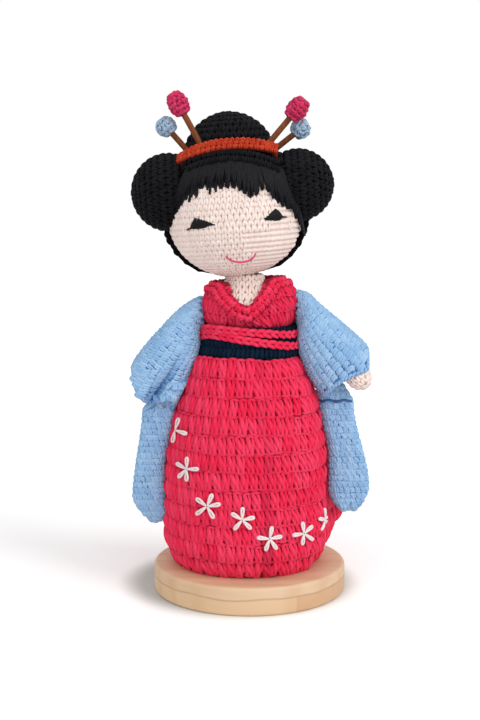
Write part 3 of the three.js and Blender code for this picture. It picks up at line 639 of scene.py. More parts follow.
def filled_out(place):
    """The cloth stands out a little beside the front, where the panel's upper corner is sewn down."""
    turn = skirt_turn(place)
    high = ease(place.z, 84 * mm, 98 * mm)
    push = (2.6 + high) * hump(turn, -44, 18) + (1.0 + 1.4 * high) * hump(turn, 6, 13)
    push *= mm * ease(place.z, 50 * mm, 75 * mm) * ease(place.z, 123 * mm, 107 * mm)
    return Vector((math.cos(math.radians(turn)), math.sin(math.radians(turn)), 0)) * push


def on_skirt(u, v):
    """u is the azimuth in degrees and v the height over the hem."""
    z = hem_z + min(max(v, 0.2 * mm), skirt_h - 0.2 * mm)
    found = from_side(skirt_surface, skirt_x, u, z, 0.09, skirt_deep)
    return found + filled_out(found) if found else found


skirt_spots = []
skirt_rows = 12
row_h = skirt_h / skirt_rows
wrap_foot = -30
wrap_lean = 22
for k in range(skirt_rows):
    v = (k + 0.5) * row_h
    edge = wrap_foot + wrap_lean * v / skirt_h
    scallop = 0 if k else 0.6

    def row_line(u):
        waver = 0.5 * math.sin(math.radians(3 * u + 140 * k))
        return v + (waver + scallop * math.sin(math.radians(24 * u))) * mm

    skirt_spots += row_spots(
        on_skirt, row_line, (edge - 360.5, edge - 3), (4.6 * mm, row_h), double,
        rise=-0.5 * mm, phase=0.31 * k, closed=False)
# the shade of one soft fold up the front is painted: the stitches along it are darkened
painted_fold_shade_turn = -77
skirt_spots = [q + (0.6 * hump(skirt_turn(q[0]), painted_fold_shade_turn, 2.2),) for q in skirt_spots]
skirt_cloth = cloth_under("skirt", sink=0.4 * mm)
for point in skirt_cloth.data.vertices:
    point.co += filled_out(point.co)
skirt = worked("kimono_skirt", [(double, skirt_spots)], skirt_cloth, dress_yarn, loose=0.09)
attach(skirt, "doll")
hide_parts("skirt")


# Bodice: a pink shell over chest and shoulders in double crochet, whose rows dip to the V in front.
# Its lower edge is sewn down under the sash.
bodice_surface = surface_of("bodice")
chest_x = -1.2 * mm
sash_top = 139.2 * mm


def edge_heights(surface, x, start, end):
    """For each azimuth in degrees, the first height from start to end at which the surface is met."""
    step = math.copysign(0.25 * mm, end - start)
    found = []
    for u in range(0, 360, 4):
        z = start
        while (end - z) * step > 0 and not from_side(surface, x, u, z):
            z += step
        found.append(z)
    return lambda u: float(np.interp(u % 360, range(0, 364, 4), found + found[:1]))


bodice_top = edge_heights(bodice_surface, chest_x, 168 * mm, sash_top)
bodice_h = 24 * mm
bodice_row_h = 8 * mm


def on_bodice(u, v):
    """v runs from the sash, 0, to the neckline, bodice_h."""
    z = sash_top + (bodice_top(u) - 0.3 * mm - sash_top) * v / bodice_h
    return from_side(bodice_surface, chest_x, u, z)


bodice_spots = rows(
    on_bodice, range(3), lambda k: (k + 0.5) * bodice_row_h, all_round, (4.3 * mm, bodice_row_h), double,
    shift=0.4, rise=-0.6 * mm)
# every bodice stitch is darkened a little: painted shade under the collar and head
bodice_painted_shade = 0.16
bodice_spots = [q + (bodice_painted_shade,) for q in bodice_spots]
bodice_cloth = cloth_under("bodice", sink=0.5 * mm)
bodice = worked("kimono_bodice", [(double, bodice_spots)], bodice_cloth, dress_yarn, loose=0.14)
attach(bodice, "doll")
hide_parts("bodice")


# Collar: a band of two short rows worked along the neckline and folded out, so that it makes the
# two lapels. It is sewn down on the bodice.
collar_surface = surface_of("collar")
collar_top = edge_heights(collar_surface, chest_x, 170 * mm, 140 * mm)
collar_foot = edge_heights(collar_surface, 0, 140 * mm, 168 * mm)
collar_h = 8.5 * mm
collar_gauge = 4.1 * mm


def on_collar(u, v):
    """v runs from the collar's foot, 0, to its fold, collar_h."""
    foot = collar_foot(u)
    z = foot + 0.3 * mm + (collar_top(u) - foot - 0.6 * mm) * v / collar_h
    return from_side(collar_surface, chest_x, u, z)


# A knobbly short stitch: two legs and the loop thrown round them.
knob = stitch("knob", (3.3, 3.5), [
    ([(-1.15, 1.6, -0.2), (-0.75, 0.3, 0.75), (-0.5, -1.6, -0.1)], 0.9, 4),
    ([(1.15, 1.6, -0.2), (0.8, 0.2, 0.85), (0.45, -1.6, -0.1)], 0.9, 4),
    ([(-1.5, -0.35, 0.3), (0.0, 0.25, 1.35), (1.4, 1.0, 0.6)], 0.75, 4),
])
collar_spots = rows(
    on_collar, range(2), lambda k: (2.3 + 4.0 * k) * mm, all_round, (collar_gauge, collar_gauge), knob,
    rise=-0.7 * mm)
collar_cloth = cloth_under("collar", sink=0.7 * mm)
collar = worked("kimono_collar", [(knob, collar_spots)], collar_cloth, dress_yarn, loose=0.16)
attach(collar, "doll")
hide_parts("collar")


# Sash: a broad navy band of fine ribbed crochet round the waist. Its ribs stand upright, in three
# rows, and its ends meet at the back.
sash_yarn = yarn_finish("sash_yarn", "#061a2c", "#030b14", "#0f2a42", sheen=0.02, specular=0.08)
rib = stitch("rib", (2.3, 5.2), [
    ([(-0.15, -2.8, 0.1), (-0.35, -1.2, 0.75), (-0.2, 0.8, 0.9), (0.1, 2.7, 0.1)], 0.78, 5),
    ([(0.75, -2.7, 0.0), (0.65, -0.9, 0.4), (0.75, 1.0, 0.5), (0.9, 2.6, 0.0)], 0.6, 5),
])
sash_surface = surface_of("obi")
sash_foot = 124 * mm
sash_deep = 0.88
sash_row_h = 5.07 * mm


def on_sash(u, v):
    z = sash_foot + min(max(v, 0.3 * mm), 14.9 * mm)
    return from_side(sash_surface, 0, u, z, depth=sash_deep)


sash_spots = rows(
    on_sash, range(3), lambda k: (k + 0.5) * sash_row_h, all_round, (2.35 * mm, sash_row_h), rib,
    shift=0, rise=-0.35 * mm)
sash = worked("sash", [(rib, sash_spots)], cloth_under("obi", sink=0.5 * mm), sash_yarn)
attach(sash, "doll")
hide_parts("obi")


# Sash knot: a small padded cushion in the same rib, sewn on at the back over the ends of the sash
# and the cords.
knot_surface = surface_of("obi_knot")
knot_z = 131.6 * mm
knot_half = 13.2 * mm
knot_row_h = 4.9 * mm


def on_knot(u, v):
    return touch(knot_surface, Vector((u, 0.1, v)), Vector((u, 0.02, v)))


knot_spots = rows(
    on_knot, range(3), lambda k: knot_z + (k - 1) * knot_row_h, (knot_half, -knot_half),
    (2.35 * mm, knot_row_h), rib, shift=0, rise=-0.3 * mm, closed=False)
knot = worked("sash_knot", [(rib, knot_spots)], cloth_under("obi_knot", sink=0.4 * mm), sash_yarn)
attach(knot, "doll")
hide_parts("obi_knot")


# Cords: two pink crochet chains laid round the sash, crossing it on a slant in front. Each link is a
# loop pulled through the one before.
link_long = 4.1
chain = stitch("chain", (link_long, 4.6), [
    ([(-2.9, 0.2, 0.9), (-1.4, 0.85, 1.15), (0.6, 1.3, 0.7), (2.4, 1.25, -0.3)], 1.02, 6),
    ([(-2.9, -0.2, 0.9), (-1.4, -0.85, 1.15), (0.6, -1.3, 0.7), (2.4, -1.25, -0.3)], 1.02, 6),
])
for name in ("cord_upper", "cord_lower"):
    places = np.array([v.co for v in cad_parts[name].data.vertices])
    around = np.degrees(np.arctan2(places[:, 1] / sash_deep, places[:, 0])) % 360
    path = []
    for k in range(36):
        near = np.abs((around - 10 * k + 180) % 360 - 180) < 5
        path.append(Vector(places[near].mean(axis=0)))
    path = smooth_path(path + path[:1], 400)[:-1]
    lengths = np.cumsum([0] + [(b - a).length for a, b in zip(path, path[1:] + path[:1])])
    links = round(lengths[-1] / (link_long * mm))
    fit = lengths[-1] / links / (link_long * mm)
    spots = []
    for k in range(links):
        i = int(np.searchsorted(lengths, lengths[-1] * k / links)) % len(path)
        along = path[(i + 3) % len(path)] - path[i - 3]
        out = Vector((path[i].x, path[i].y, 0)).normalized()
        spots.append((path[i] - out * 0.5 * mm, along, out.cross(along), fit, 1.0))
    cord = worked("chain_" + name, [(chain, spots)], cloth_under(name, sink=0.3 * mm), dress_yarn)
    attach(cord, "doll")
    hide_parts(name)


# Head: a stuffed ball of cream cotton in single crochet, worked in rounds from the top down. It
# leans a little to the doll's right.
head_place = Vector((-7.3, 0, 194)) * mm
head_lean = Matrix.Rotation(math.radians(-4), 3, "Y")
head_r = 34 * mm
face_row_h = 3.05 * mm
full_turn = (0, math.tau)
head_surface = surface_of("head")
cap_surface = surface_of("hair_cap")


def ball_point(surface, centre, axes, u, v, radius, far=60 * mm):
    """A point on a round piece: u is the turn round its axis and v the way along it from the middle."""
    t = v / radius
    way = axes @ Vector((math.cos(t) * math.cos(u), math.cos(t) * math.sin(u), math.sin(t)))
    return touch(surface, centre + way * far, centre)


def on_head(u, v):
    return ball_point(head_surface, head_place, head_lean, u, v, head_r)


def bare(spots, *covers, room=6 * mm):
    """Leaves out the stitches that other pieces cover."""
    kept = []
    for spot in spots:
        out = spot[1].cross(spot[2]).normalized()
        if not any(cover.ray_cast(spot[0] + out * 0.4 * mm, out, room)[0] for cover in covers):
            kept.append(spot)
    return kept


face_spots = rows(
    on_head, range(-16, 13), lambda k: k * face_row_h, full_turn, (2.95 * mm, face_row_h), single,
    rise=-0.45 * mm)
# Towards the doll's left the stitches lie flatter, and their rows run together in low ridges.
ridge = stitch("ridge", (3.0, 3.1), [
    ([(-1.9, -0.1, -0.65), (0.0, 0.05, -0.45), (1.9, -0.1, -0.65)], 1.55, 4),
], sides=8)
upright_ones, flat_ones = [], []
for spot in bare(face_spots, cap_surface):
    x, z = (spot[0].x - head_place.x) / mm, (spot[0].z - head_place.z) / mm
    share = (x - 1) / 9 if z < -7 else (x - 9) / 22
    (flat_ones if spot[0].y < 0 and chance.uniform() < share else upright_ones).append(spot)
head = worked(
    "stuffed_head", [(single, upright_ones), (ridge, flat_ones)],
    cloth_under("head", sink=0.25 * mm), skin_yarn, plump=0.9)
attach(head, "head")
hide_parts("head")


# Face: the eyes are black satin stitches, each with a thread running out at its corners, and the
# mouth is one pink thread, couched down in a shallow curve.
def seen(surface, px, py, lift):
    """The point of a surface that lies behind a point of the picture, raised towards the camera."""
    way = Vector(((px - picture_middle[0]) / focal_px, (picture_middle[1] - py) / focal_px, -1))
    way = (camera.rotation_euler.to_matrix() @ way).normalized()
    found, out = surface.ray_cast(camera.location, way, 2.0)[:2]
    return found - way * lift / max(0.35, abs(way.dot(out))) if found else None


def threads(name, paths, radius, finish, steps):
    """Threads laid along paths, as one mesh. Each path is a list of points in metres."""
    curve = bpy.data.curves.new(name, "CURVE")
    curve.dimensions = "3D"
    curve.bevel_depth = radius
    curve.bevel_resolution = 1
    curve.use_fill_caps = True
    for path in paths:
        line = curve.splines.new("POLY")
        line.points.add(steps - 1)
        for k, (point, place) in enumerate(zip(line.points, smooth_path(path, steps))):
            point.co = (*place, 1)
            point.radius = 0.55 + 0.45 * math.sin(math.pi * (k + 0.3) / (steps - 0.4)) ** 0.5
    data = baked(placed(name, curve))
    data.shade_smooth()
    data.materials.clear()
    data.materials.append(finish)
    return placed(name, data)


def thread_finish(name, colour, pale, roughness=0.5, sheen=0.1, specular=0.3):
    made, tree, surface = finish_of(name, roughness, sheen, specular)
    streak = noise(tree, coords(tree), 900, 3, 0.6)
    tone = ramp(tree, streak, [(0.35, linear(colour)), (0.75, linear(pale))])
    feed(tree, tone, surface["Base Color"])
    feed(tree, bumped(tree, streak, 0.4, 0.1 * mm), surface["Normal"])
    return made


def along_line(points, share):
    steps = np.cumsum([0] + [math.dist(a, b) for a, b in zip(points, points[1:])])
    return [float(np.interp(share * steps[-1], steps, [p[k] for p in points])) for k in (0, 1)]


black_thread = thread_finish("black_thread", "#09090b", "#1c1c20", sheen=0.02, specular=0.15)
# Each eye in the picture: its upper and its lower edge, and the threads at its corners.
eye_lines = {
    "right": ([(190.8, 226.6), (192.2, 221.8), (195, 217.8), (200, 218.9), (206.4, 221), (212.5, 224.3)],
              [(190.8, 228.4), (194, 229), (199, 229), (204, 228), (208, 226.6), (212.6, 225)],
              [[(191.6, 228.4), (189, 229), (186.8, 230)], [(210, 224.6), (213, 224.8), (215, 224.9)]]),
    "left": ([(266, 217.4), (271, 212.6), (275.6, 208.7), (279.6, 211.8), (282.2, 215.8)],
             [(267.6, 219.6), (271, 220.4), (276, 220.6), (280, 220.2), (282.6, 217)],
             [[(270, 219.8), (266.5, 219.6), (264.4, 218)], [(281, 217), (284, 217), (287, 217.2)]]),
}
eye_stitches = 24
for side, (upper, lower, tails) in eye_lines.items():
    paths = []
    for k in range(eye_stitches):
        share = k / (eye_stitches - 1)
        top, foot = along_line(upper, share), along_line(lower, share)
        middle = [(top[0] + foot[0]) / 2, (top[1] + foot[1]) / 2]
        rise = ((top, 0.45), (middle, 0.95), (foot, 0.45))
        paths.append([seen(head_surface, *q, h * mm) for q, h in rise])
    for tail in tails:
        paths.append([seen(head_surface, *q, 0.75 * mm) for q in tail])
    eye = threads("eye_" + side, paths, 0.42 * mm, black_thread, steps=6)
    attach(eye, "head")

pink_thread = thread_finish("pink_thread", "#d8336a", "#ee5c8c")
lips = [(225.6, 256.6), (228.6, 259.2), (234, 261.4), (241.5, 262.2), (248.6, 260.8), (253, 257.8),
        (255.8, 253.4)]
mouth_path = [seen(head_surface, *q, 0.8 * mm) for q in lips]
mouth = threads("mouth", [mouth_path], 0.5 * mm, pink_thread, steps=24)
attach(mouth, "head")


# Hair cap: black cotton in rounds of half double crochet over the back and top of the head, sewn
# down along its edge round the face.
hair_yarn = yarn_finish("hair_yarn", "#0f0f12", "#040405", "#1e1e22", ply=0.35, sheen=0.02, specular=0.08)
half = stitch("half", (4.4, 4.7), [
    ([(-1.75, 2.4, -0.2), (-1.3, 1.0, 0.75), (-0.95, -0.8, 0.75), (-0.6, -2.5, -0.2)], 1.2, 5),
    ([(1.75, 2.4, -0.2), (1.3, 1.0, 0.85), (0.95, -0.8, 0.85), (0.6, -2.5, -0.2)], 1.2, 5),
    ([(-1.9, 0.6, 0.4), (-0.4, -0.1, 1.35), (1.2, -0.7, 0.9)], 0.75, 4),
])
bun_surfaces = [surface_of(name) for name in ("top_bun", "side_bun_right", "side_bun_left")]
band_surface = surface_of("hair_band")
cap_r = 38 * mm
hair_gauge = 3.6 * mm


def on_cap(u, v):
    return ball_point(cap_surface, head_place, head_lean, u, v, cap_r)


def tucked_in(place):
    """Whether a point under the band lies where the buns over the ears hold it down."""
    q = head_lean.transposed() @ (place - head_place)
    return q.y < 12 * mm and not -27 * mm < q.x < 23.6 * mm


cap_spots = rows(
    on_cap, range(-14, 17), lambda k: k * hair_gauge, full_turn, (hair_gauge, hair_gauge), half,
    rise=-0.5 * mm)
cap_spots = bare(cap_spots, *bun_surfaces, room=8 * mm)
cap_spots = [q for q in cap_spots if tucked_in(q[0]) or bare([q], band_surface, room=8 * mm)]
cap_cloth = cloth_under("hair_cap", sink=0.5 * mm)
cap = worked("hair_cap_yarn", [(half, cap_spots)], cap_cloth, hair_yarn, plump=0.85, loose=0.1)
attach(cap, "head")
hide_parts("hair_cap")


# Buns: three stuffed black balls in rounds, one on the crown and one over each ear, sewn to the cap.
# The ones over the ears lie on the ends of the hair band.
sideways = Matrix.Rotation(math.radians(90), 3, "Y")
# Each bun: its middle and half sizes in mm, in the head's frame, and how its rounds are turned.
buns = (
    ("top_bun", (-0.9, 9, 28), (23.6, 23.6, 24.5), Matrix.Identity(3)),
    ("side_bun_right", (-33, 0, 14.5), (18.2, 20.4, 19.1), sideways),
    ("side_bun_left", (32.6, -2, 13.7), (17.4, 20.6, 17.6), sideways),
)
for name, centre, radii, axes in buns:
    size = sum(radii) / 3 * mm

    def on_bun(u, w, more=0.0):
        t = max(-1.57, min(1.57, w / size))
        way = axes @ Vector((math.cos(t) * math.cos(u), math.cos(t) * math.sin(u), math.sin(t)))
        place = Vector([(c + (r + more) * q) * mm for c, r, q in zip(centre, radii, way)])
        return head_place + head_lean @ place

    rounds = int(math.pi * size / hair_gauge)
    spots = rows(
        on_bun, range(rounds), lambda k: (k + 0.5 - rounds / 2) * math.pi * size / rounds, full_turn,
        (hair_gauge, hair_gauge), half, rise=-0.5 * mm)
    spots = [q for q in spots if not cap_surface.ray_cast(q[0], (q[0] - head_place).normalized(), 0.05)[0]]
    turns = [math.tau * i / 40 for i in range(40)]
    rings = [[on_bun(u, t * size, -0.5) for u in turns] for t in np.linspace(-1.54, 1.54, 25)]
    bun = worked(name + "_yarn", [(half, spots)], cloth_of(rings), hair_yarn, plump=0.85, loose=0.1)
    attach(bun, "head")
    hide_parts(name)


# Hair band: a strip of orange-red single crochet, three rows wide, round the foot of the top bun.
band_yarn = yarn_finish("band_yarn", "#b52d12", "#6e1506", "#da4e24")
band_z = 26 * mm
band_lean = math.radians(25)
hair_wide, hair_deep, hair_over, hair_below = 39.5 * mm, 38.4 * mm, 42.4 * mm, 35.4 * mm


def on_band(u, v):
    """u is the turn round the head, and v the way up from the middle of the band, which leans back."""
    share = 0.6
    for _ in range(12):
        y = hair_deep * math.sqrt(max(0.0, 1 - share * share)) * math.sin(u)
        z = band_z + v / math.cos(band_lean) - math.tan(band_lean) * y
        share += 0.6 * (max(-1, min(1, z / (hair_over if z > 0 else hair_below))) - share)
    spread = math.sqrt(1 - share * share)
    way = head_lean @ Vector((hair_wide * spread * math.cos(u), hair_deep * spread * math.sin(u), z))
    return touch(band_surface, head_place + way * 1.5, head_place + way * 0.8)


band_spots = rows(
    on_band, range(3), lambda k: (k - 1) * 2.3 * mm, full_turn, (2.7 * mm, 2.4 * mm), knob,
    rise=-0.4 * mm)
band_cloth = cloth_under("hair_band", sink=0.3 * mm)
for point in band_cloth.data.vertices:
    if tucked_in(point.co):
        point.co += (head_place - point.co).normalized() * 4.8 * mm
band_spots = [q for q in band_spots if not tucked_in(q[0])]
band = worked("hair_band_yarn", [(knob, band_spots)], band_cloth, band_yarn, plump=1.05, loose=0.35)
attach(band, "head")
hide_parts("hair_band")


# Fringe: loose strands of black floss, sewn in along the cap's front and combed to both sides of
# the parting. Their ends are cut unevenly over the brow.
floss = thread_finish("hair_floss", "#0e0e11", "#202026", roughness=0.55, sheen=0.0, specular=0.12)
brow_surface = surface_of("fringe_right", "fringe_left", "head", "hair_cap")
# Where the tips end in the picture, from the doll's right to its left.
cut_line = [
    (168.6, 229), (170.6, 221), (174.3, 212.4), (181.2, 207.7), (184.4, 200.3), (189, 203.1),
    (192.8, 192.9), (196.9, 195.7), (198.3, 187.4), (202.5, 191.5), (203.9, 182.8), (209.4, 192.9),
    (212, 186), (216.3, 192.9), (216.6, 181.8), (221.4, 189.7), (222.4, 185.5), (229.8, 186.9),
    (238.1, 190.2), (245.5, 194.8), (251.5, 197.6), (253.8, 190.2), (257.5, 195.7), (259, 190),
    (267.7, 192), (276, 199.4), (285.3, 206.8), (290.8, 210.5), (291.7, 206.8), (295.4, 217),
    (298.2, 218.8), (301.9, 227.2), (303.8, 234), (305.4, 243)]
parting_px = 232
root_py = 157


def hairline(px, py):
    """The picture height at px of a line along the cap's front edge that lies at py in the parting."""
    return py + 0.0052 * (px - parting_px) ** 2


strand_chance = np.random.default_rng(11)
strand_count = 420
lock_size = 10
tresses = {"fringe_right": [], "fringe_left": []}
for k in range(strand_count):
    # ten strands lie together in a lock, whose tips draw to a point
    lock, inside = k // lock_size, (k % lock_size - 4.5) / 4.5
    share = (lock_size * lock + 5 + 3.2 * inside + strand_chance.normal(0, 0.4)) / strand_count
    tip = along_line(cut_line, share)
    under = k % 3 == 0
    tip[1] += strand_chance.normal(0, 0.5) - 2.2 * abs(inside) + 1.4 * math.sin(7.3 * lock)
    tip[1] += -3 if under else 1
    aside = tip[0] + 1.1 * inside - parting_px
    root_px = parting_px + 0.7 * aside
    root = [root_px, hairline(root_px, root_py) + strand_chance.normal(0, 0.7)]
    bend = [root[0] + (tip[0] - root[0]) * 0.72, root[1] + (tip[1] - root[1]) * 0.4]
    path = []
    for j in range(7):
        t = j / 6
        q = [(1 - t) ** 2 * a + 2 * t * (1 - t) * b + t * t * c for a, b, c in zip(root, bend, tip)]
        lift = (0.2 if under else 0.55) + strand_chance.uniform(0, 0.3)
        place = seen(brow_surface, *q, lift * mm)
        if place:
            path.append(place)
    if len(path) > 3:
        tresses["fringe_right" if aside < 0 else "fringe_left"].append(path)
for name, paths in tresses.items():
    strands = threads(name + "_strands", paths, 0.6 * mm, floss, steps=10)
    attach(strands, "head")
    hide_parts(name)


# Edge of the cap: its last two rows in front, which lie over the roots of the fringe and hold them
# down. They follow the line of the hair over the brow.
edge_spots = []
for start_px, edge_py in ((186, 152.1), (188.3, 158.1)):
    for k in range(20):
        x = start_px + 4.7 * k
        here, left, right = [
            seen(brow_surface, q, hairline(q, edge_py), 0.9 * mm) for q in (x, x - 2, x + 2)]
        out = (here - head_place).normalized()
        edge_spots.append((here, right - left, out.cross(right - left), 0.62, 0.85))
cap_edge = worked("hair_cap_edge", [(half, edge_spots)], None, hair_yarn, plump=0.9, loose=0.1)
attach(cap_edge, "head")


# Pins: four stained wooden sticks pushed into the hair, each with a small crocheted bobble glued on
# its end, two pink and two pale blue.
stain = wood("stained_stick", "#65300f", "#8a4a1b", (700, 700, 60), 0.1 * mm, 0.55, 0.25)
bobble_yarns = {"pink": yarn_finish("pink_yarn", "#cf2658", "#941740", "#e84a7c"),
                "blue": yarn_finish("blue_yarn", "#9bb5d0", "#6f8fae", "#c0d3e4")}
# Each pin: which way its stick points in x and z, and its bobble's radius and half length in mm.
pins = (
    ("pin_pink_right", (-0.4833, 0.8754), 5.4, 6.9),
    ("pin_blue_right", (-0.6676, 0.7452), 5.1, 5.1),
    ("pin_pink_left", (0.6441, 0.7668), 5.4, 6.9),
    ("pin_blue_left", (0.7858, 0.6183), 5.1, 5.1),
)
for name, way, radius, long in pins:
    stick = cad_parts[name + "_stick"]
    stick.data.materials.clear()
    stick.data.materials.append(stain)
    low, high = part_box(name + "_bobble")
    place = (low + high) / 2
    axis = Vector((way[0], 0, way[1])).normalized()
    axes = Vector((0, 0, 1)).rotation_difference(axis).to_matrix()
    bobble_surface = surface_of(name + "_bobble")
    colour = name.split("_")[1]

    def on_bobble(u, v):
        found = ball_point(bobble_surface, place, axes, u, v, long * mm, far=30 * mm)
        return found if found and (found - place).length > 0.86 * radius * mm else None

    rounds = 5 if colour == "pink" else 4
    round_h = math.pi * long * mm / (rounds + 1.2)
    spots = rows(
        on_bobble, range(rounds), lambda k: (k + 0.5 - rounds / 2) * round_h, full_turn,
        (3.6 * mm, 3.4 * mm), knob, rise=-1.0 * mm)
    bobble = worked(
        name + "_bobble_yarn", [(knob, spots)], cloth_under(name + "_bobble", sink=0.6 * mm),
        bobble_yarns[colour], plump=0.7, loose=0.45)
    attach(bobble, name)
    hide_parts(name + "_bobble")


# Arms: stuffed cream tubes that end in mittens, sewn on at the shoulders. Only the hands show.
# Each arm: the middle of its shoulder and of its palm.
arm_ends = {
    "right": (Vector((-24.6, 0, 147.7)) * mm, Vector((-46.5, -9, 116.2)) * mm),
    "left": (Vector((24.6, 0, 149.3)) * mm, Vector((55, -13.4, 113.9)) * mm),
}
for side, (shoulder, palm) in arm_ends.items():
    arm_surface = surface_of("arm_" + side)
    axes = Vector((0, 0, 1)).rotation_difference((palm - shoulder).normalized()).to_matrix()

    def on_hand(u, v):
        return ball_point(arm_surface, palm, axes, u, v, 6.1 * mm, far=20 * mm)

    def on_wrist(u, v):
        aim = palm - (palm - shoulder).normalized() * v
        return touch(arm_surface, aim + axes @ Vector((math.cos(u), math.sin(u), 0)) * 20 * mm, aim)

    gauge = (3.0 * mm, 3.1 * mm)
    spots = rows(
        on_hand, range(5), lambda k: (-4.8 + k * 3.1) * mm, full_turn, gauge, single, rise=-0.4 * mm)
    spots += rows(
        on_wrist, range(3), lambda k: (8.4 + k * 3.1) * mm, (0, -math.tau), gauge, single, rise=-0.4 * mm)
    arm_cloth = cloth_under("arm_" + side, sink=0.3 * mm)
    arm = worked("stuffed_arm_" + side, [(single, spots)], arm_cloth, skin_yarn)
    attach(arm, "arm_" + side)
    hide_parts("arm_" + side)


# Sleeves: pale blue, worked in short rows from shoulder to cuff. The mouth of each sleeve is wide,
# and its lower end hangs down as a long flat bag, which is one cloth with it.
sleeve_yarn = yarn_finish("sleeve_yarn", "#8ab4dc", "#5e90c6", "#b2d2ee", sheen=0.05)
# A short stitch whose two legs slant together.
slant = stitch("slant", (3.3, 3.5), [
    ([(-1.2, 1.8, -0.3), (-0.75, 0.6, 0.55), (-0.1, -0.8, 0.6), (0.4, -1.9, 0.0)], 1.15, 5),
    ([(0.3, 1.7, -0.3), (0.8, 0.5, 0.45), (1.3, -0.8, 0.5), (1.6, -1.9, 0.0)], 1.05, 5),
    ([(-1.7, -1.2, 0.1), (0.0, -1.5, 0.55), (1.7, -1.6, 0.2)], 0.95, 4),
])


def through(pairs):
    """A smooth function through pairs of a place and its value."""
    line = smooth_path([(a, b, 0) for a, b in pairs], 12 * (len(pairs) - 1) + 1)
    return lambda at: float(np.interp(at, [q.x for q in line], [q.y for q in line]))


# Each sleeve in mm: stations from shoulder to cuff, with x and z of the upper and the lower edge over
# sleeve_z, half the depth and y, and then how far its mouth stands out from its upper edge to its lower.
sleeve_z = 123.7
sleeve_shapes = {
    "right": ([(24.6, 29.6, 23, 14, 8, 0), (29.8, 27.2, 25.2, 12, 8.8, -2), (37.2, 21.8, 26, 3.4, 9.2, -5),
               (47.3, 11.4, 29.4, -6.4, 9.4, -6.5), (55.6, 1.6, 33.4, -15, 9.4, -7.5),
               (60, -5, 36.4, -22.2, 8.8, -8)],
              [(0, 0), (0.12, 3.8), (0.3, 8.2), (0.48, 10.2), (0.6, 10.6), (0.75, 7), (0.88, 2.4), (1, 0)]),
    "left": ([(24.6, 32.8, 24, 16.6, 8, -1), (30, 31, 24.8, 14.6, 8.8, -4), (35, 26.3, 24.6, 5.6, 9.2, -7),
              (45.5, 17.6, 27.8, -4.4, 9.6, -8.5), (55.6, 8.8, 32.4, -13.2, 9.6, -10),
              (59.8, 4.4, 37.6, -20.2, 9.2, -11)],
             [(0, 0), (0.12, 3.4), (0.23, 6.2), (0.35, 4.6), (0.5, 2.2), (0.75, 0.2), (1, 0)]),
}
# Each bag in mm: y, the hinge's height, its length, inner and outer edge at the top and below, its tip,
# how far it runs up into the sleeve and how much its inner edge leans in there.
bag_shapes = {
    "right": (-6, 98.3, 61.6, (38.7, 54.6), (44.2, 60.2), 48.4, 16, 0.5),
    "left": (-7.2, 100.5, 57, (36.5, 52.6), (41.4, 61.2), 51, 9, 0.35),
}
fold_start_x, fold_start_z = -36, 121
fold_way_x, fold_way_z = -13.4, -19


def in_fold(place):
    """How deep a place in mm lies in the fold where the right sleeve's mouth lies over its bag."""
    x, z = place.x - fold_start_x, place.z - fold_start_z
    run = (x * fold_way_x + z * fold_way_z) / 540
    off = (z * fold_way_x - x * fold_way_z) / 23.25
    wide = 1.2 + 2.0 * min(max(run, 0), 1)
    return (0.15 + 0.85 * ease(run, 0, 1)) * ease(run, -0.4, 0.1) * hump(off, 0, wide)


